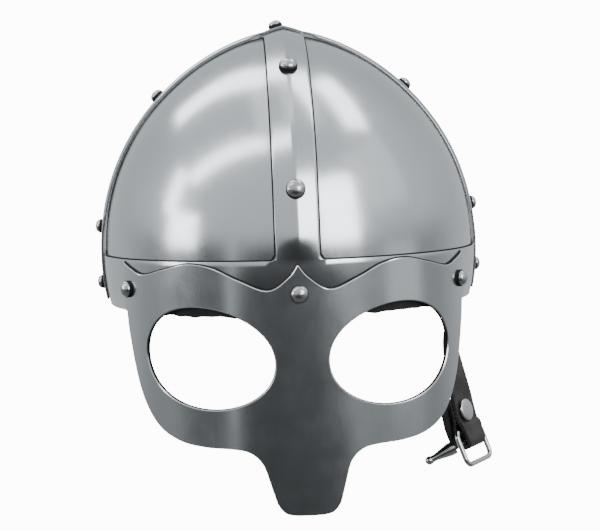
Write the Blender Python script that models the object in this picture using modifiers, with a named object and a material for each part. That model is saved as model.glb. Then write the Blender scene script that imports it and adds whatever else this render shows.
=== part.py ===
"""Viking mask helmet: a riveted steel dome with a spectacle mask and a leather chin strap.

Metres, +Z up. The face looks towards -Y and +X is the wearer's left.
The origin is the middle of the brow band's lower edge, where the helmet sits on a head.
"""
import math

import bmesh
import bpy
from mathutils import Matrix, Vector

# Dome and brow band
HALF_WIDTH = 0.1008        # outside of the dome sheets, ear to ear
HALF_LENGTH = 0.117        # outside of the dome sheets, front to back
BROW_HEIGHT = 0.027        # lower edge to the foot of the dome
DOME_RISE = 0.118          # foot of the dome to its crown
DOME_POINT = 1.65          # 2 is a round crown, less is a pointed one
DOME_SHOULDER = 2.10       # 2 is a round shoulder, more is a fuller one
BROW_TUCK = 0.003          # how far the lower edge draws in
BROW_TUCK_POWER = 2.2

# Sheets, lapped over each other from the inside out
SHEET = 0.0012
SEAT_GAP = 0.0003
RING_STEPS = 14            # flats of a quarter of the brow band
PANEL_LAP = 0.008          # how far a dome sheet reaches under the brow band
PANEL_LAP_CENTRE = 0.006   # how far it reaches under the front-to-back band
PANEL_SPLIT = 0.0004       # gap between the front and rear sheets, under the transverse band

# Bands
BAND_WIDTH = 0.0215        # front-to-back band
RIDGE_RISE = 0.0021        # height of its central ridge
RIDGE_FADE = 0.009         # height above the brow over which the ridge rises
WINDOW_FILLET = 0.002      # rounded foot corners of the band
EAR_BAND_WIDTH = 0.026     # transverse band, ear to ear
EAR_BAND_DRESS = 0.003     # width of its hammered-down edges
EAR_BAND_SINK = 0.0011     # how far they go down
EAR_BAND_SINK_SHARE = 0.03 # share of its half width over which they do, above the brow
EAR_BAND_FOOT = 0.0025     # its lower end, above the helmet's lower edge

# Mask plate, measured along its bend
MASK_HALF_LENGTH = 0.1085
MASK_DROP = 0.0972         # lower edge of the dome to the tip of the nose plate
MASK_LEAN = math.radians(1.2)
MASK_PIVOT = 0.45          # the lean turns about this share of the brow
CUTTER_DEPTH = 0.02        # cutters reach this far through the flat plate
MASK_COLUMN = 0.0052       # width of one flat of the bend
EYE_OUT = 0.0506           # middle of an eye hole from the nose line
EYE_DOWN = 0.0205
EYE_HALF_WIDTH = 0.0377
EYE_HALF_HEIGHT = 0.0250
EYE_TILT = math.radians(5.6)
EYE_SQUARENESS = 2.05

# Rivets
RIVET_HEAD = 0.0090
SMALL_RIVET_HEAD = 0.0073
MASK_RIVET_HEAD = 0.0082
RIVET_RISE_SHARE = 0.38    # height of a head over its diameter
RIVET_SIDES = 12
RIVET_GAP = 0.0005         # clears the bend of the sheet under a head's flat face

# Chin strap and buckle
STRAP_WIDTH = 0.020
STRAP_THICK = 0.0024
TURN_BACK = 0.026          # length of the doubled stretch above the buckle
BUCKLE_WIDTH = 0.0285
BUCKLE_LENGTH = 0.019
BUCKLE_OFFSET = 0.003      # the middle bar from the middle of the frame
BUCKLE_WIRE = 0.0029
BUCKLE_CORNER = 0.004
CAP_ABOVE_BAR = 0.0168     # flat rivet cap from the bar
CAP_FORWARD = 0.0022       # from the strap's middle towards the face
CAP_DIAMETER = 0.0123
CAP_THICK = 0.0012
CAP_GAP = 0.0012           # clears the bend of the strap under the cap
TIP_WIDE = 0.0076
TIP_NARROW = 0.0040
TIP_KNOB = 0.0050
TIP_GAP = 0.0013           # clears the strap's square end at the tip's angle

PANEL_LAYER = 0.0
FRAME_LAYER = PANEL_LAYER + SEAT_GAP + SHEET
EAR_BAND_LAYER = FRAME_LAYER + SEAT_GAP + SHEET
MASK_LAYER = EAR_BAND_LAYER

# Half outline of the mask, from the middle of the top edge round to the nose tip.
# across is a share of MASK_HALF_LENGTH. height is a share of BROW_HEIGHT above the
# dome's lower edge and of MASK_DROP below it. A corner row breaks the curve.
MASK_OUTLINE = (
    # name, across, height, corner
    ("centre peak", 0.000, 0.935, True),
    ("peak flank", 0.045, 0.700, False),
    ("inner dip", 0.140, 0.475, False),
    ("inner rise", 0.270, 0.660, False),
    ("side shoulder", 0.400, 0.890, False),
    ("side peak", 0.530, 0.960, False),
    ("outer flank", 0.680, 0.850, False),
    ("outer dip", 0.830, 0.740, False),
    ("arm rise", 0.930, 0.840, False),
    ("arm top", 1.000, 0.950, True),
    ("arm end", 1.000, 0.200, False),
    ("arm corner", 0.985, 0.040, False),
    ("cheek high", 0.970, -0.090, False),
    ("cheek", 0.930, -0.257, False),
    ("cheek low", 0.880, -0.400, False),
    ("jaw high", 0.811, -0.514, False),
    ("jaw", 0.728, -0.592, False),
    ("jaw low", 0.608, -0.643, False),
    ("ring foot", 0.479, -0.662, False),
    ("ring end", 0.350, -0.665, False),
    ("nose fillet high", 0.276, -0.675, False),
    ("nose fillet", 0.230, -0.702, False),
    ("nose fillet low", 0.198, -0.746, False),
    ("nose side", 0.178, -0.813, False),
    ("nose side low", 0.159, -0.885, False),
    ("nose corner high", 0.140, -0.947, False),
    ("nose corner", 0.106, -0.988, False),
    ("nose tip", 0.055, -1.000, False),
)

# Rivets along the bands and the brow. place is a share of the way out along its carrier.
RIVETS = (
    # node, carrier, place, height share of the brow
    ("rivet_crown", "ear band", -0.033, None),
    ("rivet_front_upper", "long band", 0.565, None),
    ("rivet_front_lower", "long band", 0.957, None),
    ("rivet_rear_upper", "long band", -0.565, None),
    ("rivet_rear_lower", "long band", -0.957, None),
    ("rivet_band_left_upper", "ear band", -0.670, None),
    ("rivet_band_left_lower", "ear band", -0.992, None),
    ("rivet_band_right_upper", "ear band", 0.640, None),
    ("rivet_band_right_lower", "ear band", 0.983, None),
    ("rivet_brow_left", "brow", -1.0, 0.43),
    ("rivet_brow_right", "brow", 1.0, 0.555),
    ("rivet_mask_middle", "mask", 0.0, 0.405),
    ("rivet_mask_left", "mask", -0.957, 0.45),
    ("rivet_mask_right", "mask", 0.957, 0.45),
)

# Route of the strap on the buckle's side, hung from the brow band.
# out is a share of HALF_WIDTH, forward a share of STRAP_WIDTH and down a share of
# MASK_DROP. turn is how far the strap faces forward, in degrees, and wide is a share
# of STRAP_WIDTH.
BUCKLE_STRAP = (
    # name, out, forward, down, turn, wide
    ("rivet end", 0.9750, 0.00, -0.165, 0, 1.0),
    ("below rivet", 0.9660, 0.00, -0.080, 0, 1.0),
    ("at the edge", 0.9430, 0.00, 0.010, 3, 1.0),
    ("under the edge", 0.9050, 0.00, 0.100, 10, 1.0),
    ("behind the cheek", 0.8790, 0.00, 0.260, 20, 1.0),
    ("behind the jaw", 0.8980, 0.00, 0.420, 30, 1.0),
    ("flare", 0.9170, 0.03, 0.560, 37, 1.0),
    ("cap", 0.9420, 0.09, 0.690, 38, 1.0),
    ("above the buckle", 0.9580, 0.15, 0.765, 38, 1.0),
    ("above the bar", 0.9710, 0.19, 0.815, 37, 1.0),
    ("bar", 0.9880, 0.24, 0.866, 37, 0.9),
)

# Route of the long strap, from the other side under the chin to the buckle strap.
LONG_STRAP = (
    # name, out, forward, down, turn, wide
    ("rivet end", -0.9750, 0.00, -0.165, 0, 1.0),
    ("below rivet", -0.9660, 0.00, -0.080, 0, 1.0),
    ("at the edge", -0.9300, 0.00, 0.000, 0, 1.0),
    ("under the edge", -0.8720, 0.00, 0.070, 0, 1.0),
    ("cheek", -0.8550, 0.00, 0.260, 0, 1.0),
    ("jaw", -0.8050, 0.00, 0.460, 0, 1.0),
    ("chin side", -0.6900, 0.00, 0.625, 0, 1.0),
    ("chin", -0.4700, 0.00, 0.695, 0, 1.0),
    ("chin middle", -0.2000, 0.00, 0.715, 0, 1.0),
    ("far chin middle", 0.1200, 0.00, 0.715, 0, 1.0),
    ("far chin", 0.4000, 0.00, 0.700, 0, 1.0),
    ("far chin side", 0.6200, 0.00, 0.670, 4, 1.0),
    ("far jaw", 0.7500, 0.00, 0.655, 16, 1.0),
    ("far turn", 0.8260, 0.03, 0.660, 30, 1.0),
    ("beside the cap", 0.8820, 0.09, 0.715, 38, 1.0),
    ("below the cap", 0.8960, 0.14, 0.790, 38, 0.95),
    ("taper", 0.9000, 0.19, 0.850, 37, 0.75),
    ("point", 0.8950, 0.22, 0.892, 37, 0.45),
    ("end", 0.8830, 0.23, 0.912, 37, 0.32),
)
TIP_KNOB_OUT = 0.749       # share of HALF_WIDTH
TIP_KNOB_DOWN = 0.981      # share of MASK_DROP

MATERIALS = {
    "steel": ((0.56, 0.57, 0.58, 1.0), 0.28, 1.0),
    "rivet_steel": ((0.50, 0.51, 0.52, 1.0), 0.25, 1.0),
    "leather": ((0.022, 0.021, 0.021, 1.0), 0.55, 0.0),
    "buckle_steel": ((0.60, 0.61, 0.62, 1.0), 0.20, 1.0),
}


def clear_scene():
    for thing in list(bpy.data.objects):
        bpy.data.objects.remove(thing, do_unlink=True)


def make_material(name):
    colour, roughness, metallic = MATERIALS[name]
    material = bpy.data.materials.new(name)
    material.use_nodes = True
    shader = material.node_tree.nodes["Principled BSDF"]
    shader.inputs["Base Color"].default_value = colour
    shader.inputs["Roughness"].default_value = roughness
    shader.inputs["Metallic"].default_value = metallic
    return material


def add_object(name, mesh, material, collection, smooth_angle=40):
    thing = bpy.data.objects.new(name, mesh)
    collection.objects.link(thing)
    mesh.materials.clear()
    mesh.materials.append(material)
    mesh.shade_smooth()
    mesh.set_sharp_from_angle(angle=math.radians(smooth_angle))
    return thing


def thicken(thing, thickness, offset=-1.0):
    modifier = thing.modifiers.new("Sheet", "SOLIDIFY")
    modifier.thickness = thickness
    modifier.offset = offset
    modifier.use_even_offset = True
    return modifier


# Surfaces of the dome. A layer is the distance outside the dome sheets' outer face.
def brow_tuck(height):
    share = max(0.0, (BROW_HEIGHT - height) / BROW_HEIGHT)
    return BROW_TUCK * share ** BROW_TUCK_POWER


def brow_point(turn, height, layer):
    """A point of the brow wall. turn is 0 at the front and grows towards +X."""
    out = layer - brow_tuck(height)
    x = (HALF_WIDTH + out) * math.sin(turn)
    y = -(HALF_LENGTH + out) * math.cos(turn)
    return Vector((x, y, height))


def dome_level(reach, layer):
    """Height of the dome where reach is 0 at the crown and 1 at the foot."""
    level = max(0.0, 1.0 - min(reach, 1.0) ** DOME_POINT)
    return BROW_HEIGHT + (DOME_RISE + layer) * level ** (1.0 / DOME_SHOULDER)


def dome_point(turn, reach, layer):
    x = (HALF_WIDTH + layer) * reach * math.sin(turn)
    y = -(HALF_LENGTH + layer) * reach * math.cos(turn)
    return Vector((x, y, dome_level(reach, layer)))


def long_band_point(x, along, layer):
    """A point of the front-to-back band. along runs from 1 at the front to -1."""
    span = math.sqrt(1.0 - (x / (HALF_WIDTH + layer)) ** 2)
    y = -(HALF_LENGTH + layer) * along * span
    reach = math.hypot(x / (HALF_WIDTH + layer), along * span)
    return Vector((x, y, dome_level(reach, layer)))


def ear_band_point(along, y, layer):
    """A point of the transverse band. along runs from -1 at one ear to 1."""
    span = math.sqrt(1.0 - (y / (HALF_LENGTH + layer)) ** 2)
    x = (HALF_WIDTH + layer) * along * span
    reach = math.hypot(along * span, y / (HALF_LENGTH + layer))
    return Vector((x, y, dome_level(reach, layer)))


def ridge(x, height=BROW_HEIGHT + DOME_RISE):
    """Height of the front-to-back band's ridge, which runs out just above the brow."""
    across = max(0.0, 1.0 - abs(x) / (BAND_WIDTH / 2))
    return RIDGE_RISE * across * min(1.0, max(0.0, (height - BROW_HEIGHT) / RIDGE_FADE))


def grid_mesh(name, rows):
    """An open sheet through rows of points, with shared points merged."""
    mesh = bpy.data.meshes.new(name)
    sheet = bmesh.new()
    verts = [[sheet.verts.new(point) for point in row] for row in rows]
    for low, high in zip(verts, verts[1:]):
        for k in range(len(low) - 1):
            sheet.faces.new((low[k], low[k + 1], high[k + 1], high[k]))
    bmesh.ops.remove_doubles(sheet, verts=sheet.verts, dist=1e-6)
    sheet.to_mesh(mesh)
    sheet.free()
    return mesh


def face_outwards(sheet, centre=Vector((0.0, 0.0, 0.0))):
    bmesh.ops.recalc_face_normals(sheet, faces=sheet.faces)
    sheet.normal_update()
    votes = sum((face.calc_center_median() - centre).dot(face.normal) for face in sheet.faces)
    if votes < 0:
        bmesh.ops.reverse_faces(sheet, faces=sheet.faces)


def ring_turns():
    """Angles round the brow: the bands' own columns, and even steps between them."""
    half = BAND_WIDTH / 2 + WINDOW_FILLET
    foot = [math.asin(x / (HALF_WIDTH + FRAME_LAYER)) for x in band_columns(half)]
    ear = [math.acos(y / (HALF_LENGTH + FRAME_LAYER)) for y in ear_columns()]
    ear = sorted(ear)
    stops = foot + spaced(foot[-1], ear[0], RING_STEPS) + ear
    stops += spaced(ear[-1], math.pi + foot[0], RING_STEPS)
    back = [turn + math.pi for turn in stops]
    return stops + back


def spaced(start, end, steps):
    return [start + (end - start) * k / steps for k in range(1, steps)]


def band_columns(half):
    return [-half, -BAND_WIDTH / 4, 0.0, BAND_WIDTH / 4, half]


def ear_columns():
    half = EAR_BAND_WIDTH / 2
    return [-half, EAR_BAND_DRESS - half, 0.0, half - EAR_BAND_DRESS, half]


def band_half(height):
    """Half width of the front-to-back band, which widens in a fillet at its foot."""
    rise = min(1.0, max(0.0, (height - BROW_HEIGHT) / WINDOW_FILLET))
    return BAND_WIDTH / 2 + WINDOW_FILLET * (1.0 - math.sqrt(1.0 - (1.0 - rise) ** 2))


def make_frame(steel, collection):
    """Brow band and front-to-back band, one welded sheet with a window on each side."""
    heights = [0.0, 0.22 * BROW_HEIGHT, 0.5 * BROW_HEIGHT, 0.76 * BROW_HEIGHT, BROW_HEIGHT]
    turns = ring_turns()
    sheet = bmesh.new()
    ring = [[sheet.verts.new(brow_point(turn, height, FRAME_LAYER)) for turn in turns]
            for height in heights]
    count = len(turns)
    for low, high in zip(ring, ring[1:]):
        for k in range(count):
            after = (k + 1) % count
            sheet.faces.new((low[k], low[after], high[after], high[k]))
    steps = 44
    angles = [math.pi / 2 * (1.0 - 2.0 * k / steps) for k in range(steps + 1)]
    fine = [angles[0] - step for step in (0.012, 0.03)]
    angles = [angles[0]] + fine + angles[1:-1] + [-angle for angle in reversed(fine)] + [angles[-1]]
    strip = []
    for angle in angles:
        along = math.sin(angle)
        height = long_band_point(0.0, along, FRAME_LAYER).z
        row = []
        for x in band_columns(band_half(height)):
            lift = ridge(x, height)
            row.append(sheet.verts.new(long_band_point(x, along, FRAME_LAYER + lift)))
        strip.append(row)
    for low, high in zip(strip, strip[1:]):
        for k in range(len(low) - 1):
            sheet.faces.new((low[k], low[k + 1], high[k + 1], high[k]))
    bmesh.ops.remove_doubles(sheet, verts=sheet.verts, dist=2e-5)
    face_outwards(sheet)
    mesh = bpy.data.meshes.new("frame")
    sheet.to_mesh(mesh)
    sheet.free()
    frame = add_object("frame", mesh, steel, collection, 9)
    thicken(frame, SHEET)
    return frame


def make_panel(name, side, end, steel, collection):
    """One dished dome sheet. side is -1 or 1 along X, end is -1 or 1 along Y."""
    columns = 14
    reaches = [math.sin(math.pi / 2 * k / 15) for k in range(1, 16)]
    lap = [BROW_HEIGHT - PANEL_LAP / 2, BROW_HEIGHT - PANEL_LAP]
    middle = 0.0 if end < 0 else math.pi
    slack = 0.04
    turns = [-slack + (math.pi / 2 + 2 * slack) * k / columns for k in range(columns + 1)]
    turns = [middle - side * end * turn for turn in turns]
    rows = [[dome_point(turn, reach, PANEL_LAYER) for turn in turns] for reach in reaches]
    rows += [[brow_point(turn, height, PANEL_LAYER) for turn in turns] for height in lap]
    mesh = grid_mesh(name, rows)
    sheet = bmesh.new()
    sheet.from_mesh(mesh)
    inner = BAND_WIDTH / 2 - PANEL_LAP_CENTRE
    for point, direction in (((side * inner, 0, 0), (side, 0, 0)),
                             ((0, end * PANEL_SPLIT / 2, 0), (0, end, 0))):
        parts = list(sheet.verts) + list(sheet.edges) + list(sheet.faces)
        bmesh.ops.bisect_plane(sheet, geom=parts, dist=1e-6, plane_co=point,
                               plane_no=direction, clear_inner=True)
    face_outwards(sheet)
    sheet.to_mesh(mesh)
    sheet.free()
    panel = add_object(name, mesh, steel, collection)
    thicken(panel, SHEET)
    return panel


def edge_sink(x, y):
    """How far the transverse band's edges are hammered down, clear of what it laps."""
    edge = (abs(y) - EAR_BAND_WIDTH / 2) / EAR_BAND_DRESS + 1.0
    inside = (abs(x) - BAND_WIDTH / 2 - EAR_BAND_DRESS) / (2 * EAR_BAND_DRESS)
    foot = (1.0 - abs(x) / (HALF_WIDTH + EAR_BAND_LAYER)) / EAR_BAND_SINK_SHARE
    return EAR_BAND_SINK * min(1.0, max(0.0, edge)) * min(1.0, max(0.0, inside)) * min(1.0, max(0.0, foot))


def make_ear_band(steel, collection):
    """Transverse band: from one brow side over the crown to the other."""
    columns = ear_columns()
    half = BAND_WIDTH / 2
    crown = [half, half / 2]
    limit = math.asin((half + 0.003) / HALF_WIDTH)
    steps = 14
    side = [math.pi / 2 - (math.pi / 2 - limit) * k / steps for k in range(steps + 1)]
    reach = [math.sin(angle) for angle in side] + [x / (HALF_WIDTH + EAR_BAND_LAYER) for x in crown]
    alongs = reach + [0.0] + [-share for share in reversed(reach)]
    lap = [EAR_BAND_FOOT, 0.28 * BROW_HEIGHT, 0.52 * BROW_HEIGHT, 0.78 * BROW_HEIGHT]

    def lap_row(sign, height):
        turns = [math.acos(-y / (HALF_LENGTH + EAR_BAND_LAYER)) for y in columns]
        return [brow_point(sign * turn, height, EAR_BAND_LAYER) for turn in turns]

    rows = [lap_row(1, height) for height in lap]
    for along in alongs:
        x = along * (HALF_WIDTH + EAR_BAND_LAYER)
        layers = [EAR_BAND_LAYER + ridge(x) - edge_sink(x, y) for y in columns]
        rows.append([ear_band_point(x / (HALF_WIDTH + layer), y, layer)
                     for y, layer in zip(columns, layers)])
    rows += [lap_row(-1, height) for height in reversed(lap)]
    mesh = grid_mesh("transverse_band", rows)
    sheet = bmesh.new()
    sheet.from_mesh(mesh)
    face_outwards(sheet)
    sheet.to_mesh(mesh)
    sheet.free()
    band = add_object("transverse_band", mesh, steel, collection, 9)
    thicken(band, SHEET)
    return band


# The mask is cut flat, then bent round the brow, as the real plate is.
def bend_table():
    """Angles round the mask's plan and the length of plate up to each."""
    steps = 400
    a = HALF_WIDTH + MASK_LAYER - SHEET / 2
    b = HALF_LENGTH + MASK_LAYER - SHEET / 2
    angles = [1.7 * k / steps for k in range(steps + 1)]
    lengths = [0.0]
    for before, after in zip(angles, angles[1:]):
        step = Vector((a * (math.sin(after) - math.sin(before)), b * (math.cos(after) - math.cos(before))))
        lengths.append(lengths[-1] + step.length)
    return angles, lengths


def bend_turn(length, angles, lengths):
    """Angle round the plan at a length along the plate, either side of the nose line."""
    target = abs(length)
    low, high = 0, len(lengths) - 1
    while high - low > 1:
        middle = (low + high) // 2
        if lengths[middle] <= target:
            low = middle
        else:
            high = middle
    part = (target - lengths[low]) / (lengths[high] - lengths[low])
    return math.copysign(angles[low] + (angles[high] - angles[low]) * part, length)


BEND = bend_table()


def flat_mask_point(across, height, layer):
    """A point of the bent mask from its place in the flat plate."""
    angles, lengths = BEND
    pivot = MASK_PIVOT * BROW_HEIGHT
    turn = bend_turn(across - math.tan(MASK_LEAN) * (height - pivot), angles, lengths)
    return Vector(((HALF_WIDTH + layer) * math.sin(turn), -(HALF_LENGTH + layer) * math.cos(turn), height))


def smooth_run(points, samples):
    """Points along a smooth curve through a run of points."""
    run = [points[0]] + list(points) + [points[-1]]
    out = []
    for k in range(len(points) - 1):
        before, start, end, after = run[k:k + 4]
        for step in range(samples):
            t = step / samples
            out.append(0.5 * ((2 * start) + (end - before) * t
                              + (2 * before - 5 * start + 4 * end - after) * t * t
                              + (3 * start - before - 3 * end + after) * t ** 3))
    return out + [points[-1]]


def mask_outline(samples=2):
    """The whole outline of the mask, in the flat plate."""
    points, corners = [], []
    for name, across, height, corner in MASK_OUTLINE:
        level = height * (BROW_HEIGHT if height > 0 else MASK_DROP)
        points.append(Vector((across * MASK_HALF_LENGTH, level)))
        corners.append(corner)
    stops = [k for k, corner in enumerate(corners) if corner] + [len(points) - 1]
    half = []
    for start, end in zip(stops, stops[1:]):
        half += smooth_run(points[start:end + 1], samples)[:-1]
    half.append(points[-1])
    mirrored = [Vector((-point.x, point.y)) for point in reversed(half) if point.x > 1e-6]
    return half + mirrored


def eye_outline(side, sides=36):
    """One eye hole in the flat plate: a rounded, tilted oval."""
    points = []
    for k in range(sides):
        angle = 2 * math.pi * k / sides
        wide = math.copysign(abs(math.cos(angle)) ** (2 / EYE_SQUARENESS), math.cos(angle))
        tall = math.copysign(abs(math.sin(angle)) ** (2 / EYE_SQUARENESS), math.sin(angle))
        x = EYE_HALF_WIDTH * wide
        y = EYE_HALF_HEIGHT * tall
        across = EYE_OUT + x * math.cos(EYE_TILT) - y * math.sin(EYE_TILT)
        height = -EYE_DOWN + x * math.sin(EYE_TILT) + y * math.cos(EYE_TILT)
        points.append(Vector((side * across, height)))
    return points


def flat_prism(name, outline, guides):
    """A flat outline extruded along Y, as a mesh."""
    curve = bpy.data.curves.new(name, "CURVE")
    curve.dimensions = "2D"
    curve.fill_mode = "BOTH"
    curve.extrude = CUTTER_DEPTH / 2
    spline = curve.splines.new("POLY")
    spline.points.add(len(outline) - 1)
    for slot, point in zip(spline.points, outline):
        slot.co = (point.x, point.y, 0.0, 1.0)
    spline.use_cyclic_u = True
    holder = bpy.data.objects.new(name + "_curve", curve)
    guides.objects.link(holder)
    bpy.context.view_layer.update()
    ready = holder.evaluated_get(bpy.context.evaluated_depsgraph_get())
    mesh = bpy.data.meshes.new_from_object(ready)
    bpy.data.objects.remove(holder, do_unlink=True)
    tidy = bmesh.new()
    tidy.from_mesh(mesh)
    bmesh.ops.remove_doubles(tidy, verts=tidy.verts, dist=1e-6)
    bmesh.ops.recalc_face_normals(tidy, faces=tidy.faces)
    bmesh.ops.rotate(tidy, verts=tidy.verts, matrix=Matrix.Rotation(math.pi / 2, 3, "X"))
    tidy.to_mesh(mesh)
    tidy.free()
    prism = bpy.data.objects.new(name, mesh)
    guides.objects.link(prism)
    prism.hide_render = True
    prism.display_type = "WIRE"
    return prism


def boolean_with(thing, cutter, operation):
    modifier = thing.modifiers.new(operation.title(), "BOOLEAN")
    modifier.operation = operation
    modifier.object = cutter
    modifier.solver = "EXACT"


def bake(thing):
    """Turn an object's evaluated shape into its own mesh."""
    bpy.context.view_layer.update()
    ready = thing.evaluated_get(bpy.context.evaluated_depsgraph_get())
    mesh = bpy.data.meshes.new_from_object(ready)
    thing.modifiers.clear()
    thing.data = mesh
    return mesh


def make_mask(steel, collection, guides):
    """Spectacle and nose plate: cut flat with two eye holes, then bent round the brow."""
    outline = mask_outline()
    columns = math.ceil(2.1 * MASK_HALF_LENGTH / MASK_COLUMN)
    edge = columns * MASK_COLUMN / 2
    xs = [-edge + MASK_COLUMN * k for k in range(columns + 1)]
    low, high = -1.15 * MASK_DROP, 1.3 * BROW_HEIGHT
    mesh = grid_mesh("mask", [[Vector((x, SHEET / 2, z)) for x in xs] for z in (low, high)])
    blank = add_object("mask", mesh, steel, collection, 25)
    thicken(blank, SHEET, 1.0)
    boolean_with(blank, flat_prism("mask_outline", outline, guides), "INTERSECT")
    for side in (-1, 1):
        hole = flat_prism("eye_outline", eye_outline(side), guides)
        boolean_with(blank, hole, "DIFFERENCE")
    mesh = bake(blank)
    depths = [vert.co.y for vert in mesh.vertices]
    middle = (min(depths) + max(depths)) / 2
    for vert in mesh.vertices:
        layer = MASK_LAYER - SHEET / 2 - math.copysign(SHEET / 2, vert.co.y - middle)
        vert.co = flat_mask_point(vert.co.x, vert.co.z, layer)
    tidy = bmesh.new()
    tidy.from_mesh(mesh)
    bmesh.ops.triangulate(tidy, faces=[face for face in tidy.faces if len(face.verts) > 4])
    bmesh.ops.recalc_face_normals(tidy, faces=tidy.faces)
    tidy.to_mesh(mesh)
    tidy.free()
    mesh.shade_smooth()
    mesh.set_sharp_from_angle(angle=math.radians(25))
    return blank


# Rivets
def dome_head(name, diameter, steel, collection):
    """A domed rivet head, turned about Z with its flat face at Z 0."""
    radius = diameter / 2
    rise = diameter * RIVET_RISE_SHARE
    steps = 4
    profile = [(0.0, rise)]
    for k in range(1, steps + 1):
        angle = math.pi / 2 * k / steps
        profile.append((radius * math.sin(angle), rise * (0.12 + 0.88 * math.cos(angle))))
    profile += [(radius, 0.0), (0.0, 0.0)]
    return turned(name, profile, RIVET_SIDES, steel, collection)


def turned(name, profile, sides, material, collection):
    """A profile of radius and height turned about Z with a Screw modifier."""
    mesh = bpy.data.meshes.new(name)
    line = [(radius, 0.0, height) for radius, height in profile]
    edges = [(k, k + 1) for k in range(len(line) - 1)]
    mesh.from_pydata(line, edges, [])
    thing = bpy.data.objects.new(name, mesh)
    collection.objects.link(thing)
    screw = thing.modifiers.new("Turn", "SCREW")
    screw.steps = sides
    screw.render_steps = sides
    screw.use_merge_vertices = True
    screw.merge_threshold = 1e-5
    screw.use_smooth_shade = True
    mesh.materials.append(material)
    return thing


def seat(thing, point, direction, gap=RIVET_GAP):
    """Place a turned piece with its flat face on a point, facing a direction."""
    thing.location = point + direction * gap
    thing.rotation_mode = "QUATERNION"
    thing.rotation_quaternion = Vector((0, 0, 1)).rotation_difference(direction)


def ear_band_top(along):
    """A point on the middle line of the transverse band, over the ridge that it crosses."""
    lift = ridge(along * (HALF_WIDTH + EAR_BAND_LAYER))
    return ear_band_point(along, 0.0, EAR_BAND_LAYER + lift)


def rivet_seat(carrier, place, height):
    """Head diameter, seat and outward direction of a rivet."""
    if carrier == "ear band":
        run = ear_band_top(place + 0.005) - ear_band_top(place - 0.005)
        return SMALL_RIVET_HEAD, ear_band_top(place), Vector((-run.z, 0.0, run.x)).normalized()
    if carrier == "long band":
        layer = FRAME_LAYER + ridge(0.0, long_band_point(0.0, place, FRAME_LAYER).z)
        return seat_on(RIVET_HEAD, lambda out: long_band_point(0.0, place, out), layer)
    level = height * BROW_HEIGHT
    if carrier == "brow":
        turn = place * math.pi / 2
        return seat_on(SMALL_RIVET_HEAD, lambda out: brow_point(turn, level, out), EAR_BAND_LAYER)
    across = place * MASK_HALF_LENGTH
    return seat_on(MASK_RIVET_HEAD, lambda out: flat_mask_point(across, level, out), MASK_LAYER)


def seat_on(diameter, surface, layer):
    """A seat whose outward direction runs from one layer of a surface to the next."""
    return diameter, surface(layer), (surface(layer + 0.001) - surface(layer)).normalized()


def make_rivets(steel, collection):
    for name, carrier, place, height in RIVETS:
        diameter, point, direction = rivet_seat(carrier, place, height)
        seat(dome_head(name, diameter, steel, collection), point, direction)


# Chin strap
def strap_sections(table, samples=3):
    """Centre, width direction, half width, run and inward face at each section of a strap."""
    centres = [Vector((out * HALF_WIDTH, -forward * STRAP_WIDTH, -down * MASK_DROP))
               for _, out, forward, down, _, _ in table]
    extras = [Vector((turn, wide)) for _, _, _, _, turn, wide in table]
    centres = smooth_run(centres, samples)
    extras = smooth_run(extras, samples)
    sections = []
    for k, (centre, extra) in enumerate(zip(centres, extras)):
        before = centres[max(k - 1, 0)]
        after = centres[min(k + 1, len(centres) - 1)]
        along = (after - before).normalized()
        turn = math.radians(extra.x)
        across = Vector((math.sin(turn), math.cos(turn), 0.0))
        across = (across - along * across.dot(along)).normalized()
        sections.append((centre, across, STRAP_WIDTH / 2 * extra.y, along, across.cross(along)))
    return sections


def strap_from(name, rungs, leather, collection):
    """A strap through rungs of centre, width direction and half width."""
    rows = [[centre + across * half * share for share in (-1.0, 0.0, 1.0)]
            for centre, across, half in rungs]
    strap = add_object(name, grid_mesh(name, rows), leather, collection, 50)
    thicken(strap, STRAP_THICK, 0.0)
    return strap


def leg_spread(distance):
    """Half the distance between the two legs of the fold, from the buckle's bar upwards."""
    apart = BUCKLE_WIRE / 2 + SEAT_GAP + STRAP_THICK / 2
    shut = (STRAP_THICK + SEAT_GAP) / 2
    level = BUCKLE_LENGTH / 2 - BUCKLE_OFFSET + 0.7 * BUCKLE_WIRE
    share = min(1.0, max(0.0, (distance - level) / (0.35 * level)))
    return apart + (shut - apart) * share * share * (3.0 - 2.0 * share)


def folded_strap(sections):
    """The buckle's strap: down to the bar, round it and a short way back up inside."""
    bar, across, half, along, face = sections[-1]
    near = BUCKLE_WIRE
    outer, inner = [], []
    for centre, width_way, half_width, _, inward in sections[:-1]:
        distance = (bar - centre).length
        if distance < near:
            continue
        spread = leg_spread(distance)
        hang = min(1.0, max(0.0, 2.0 - distance / TURN_BACK))
        outer.append((centre - inward * spread * hang, width_way, half_width))
        if distance < TURN_BACK:
            inner.append((centre + inward * spread, width_way, half_width))
    radius = leg_spread(0.0)
    bend = []
    for k in range(7):
        angle = math.pi * k / 6
        bend.append((bar + radius * (along * math.sin(angle) - face * math.cos(angle)), across, half))
    return outer + bend + inner[::-1]


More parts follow.
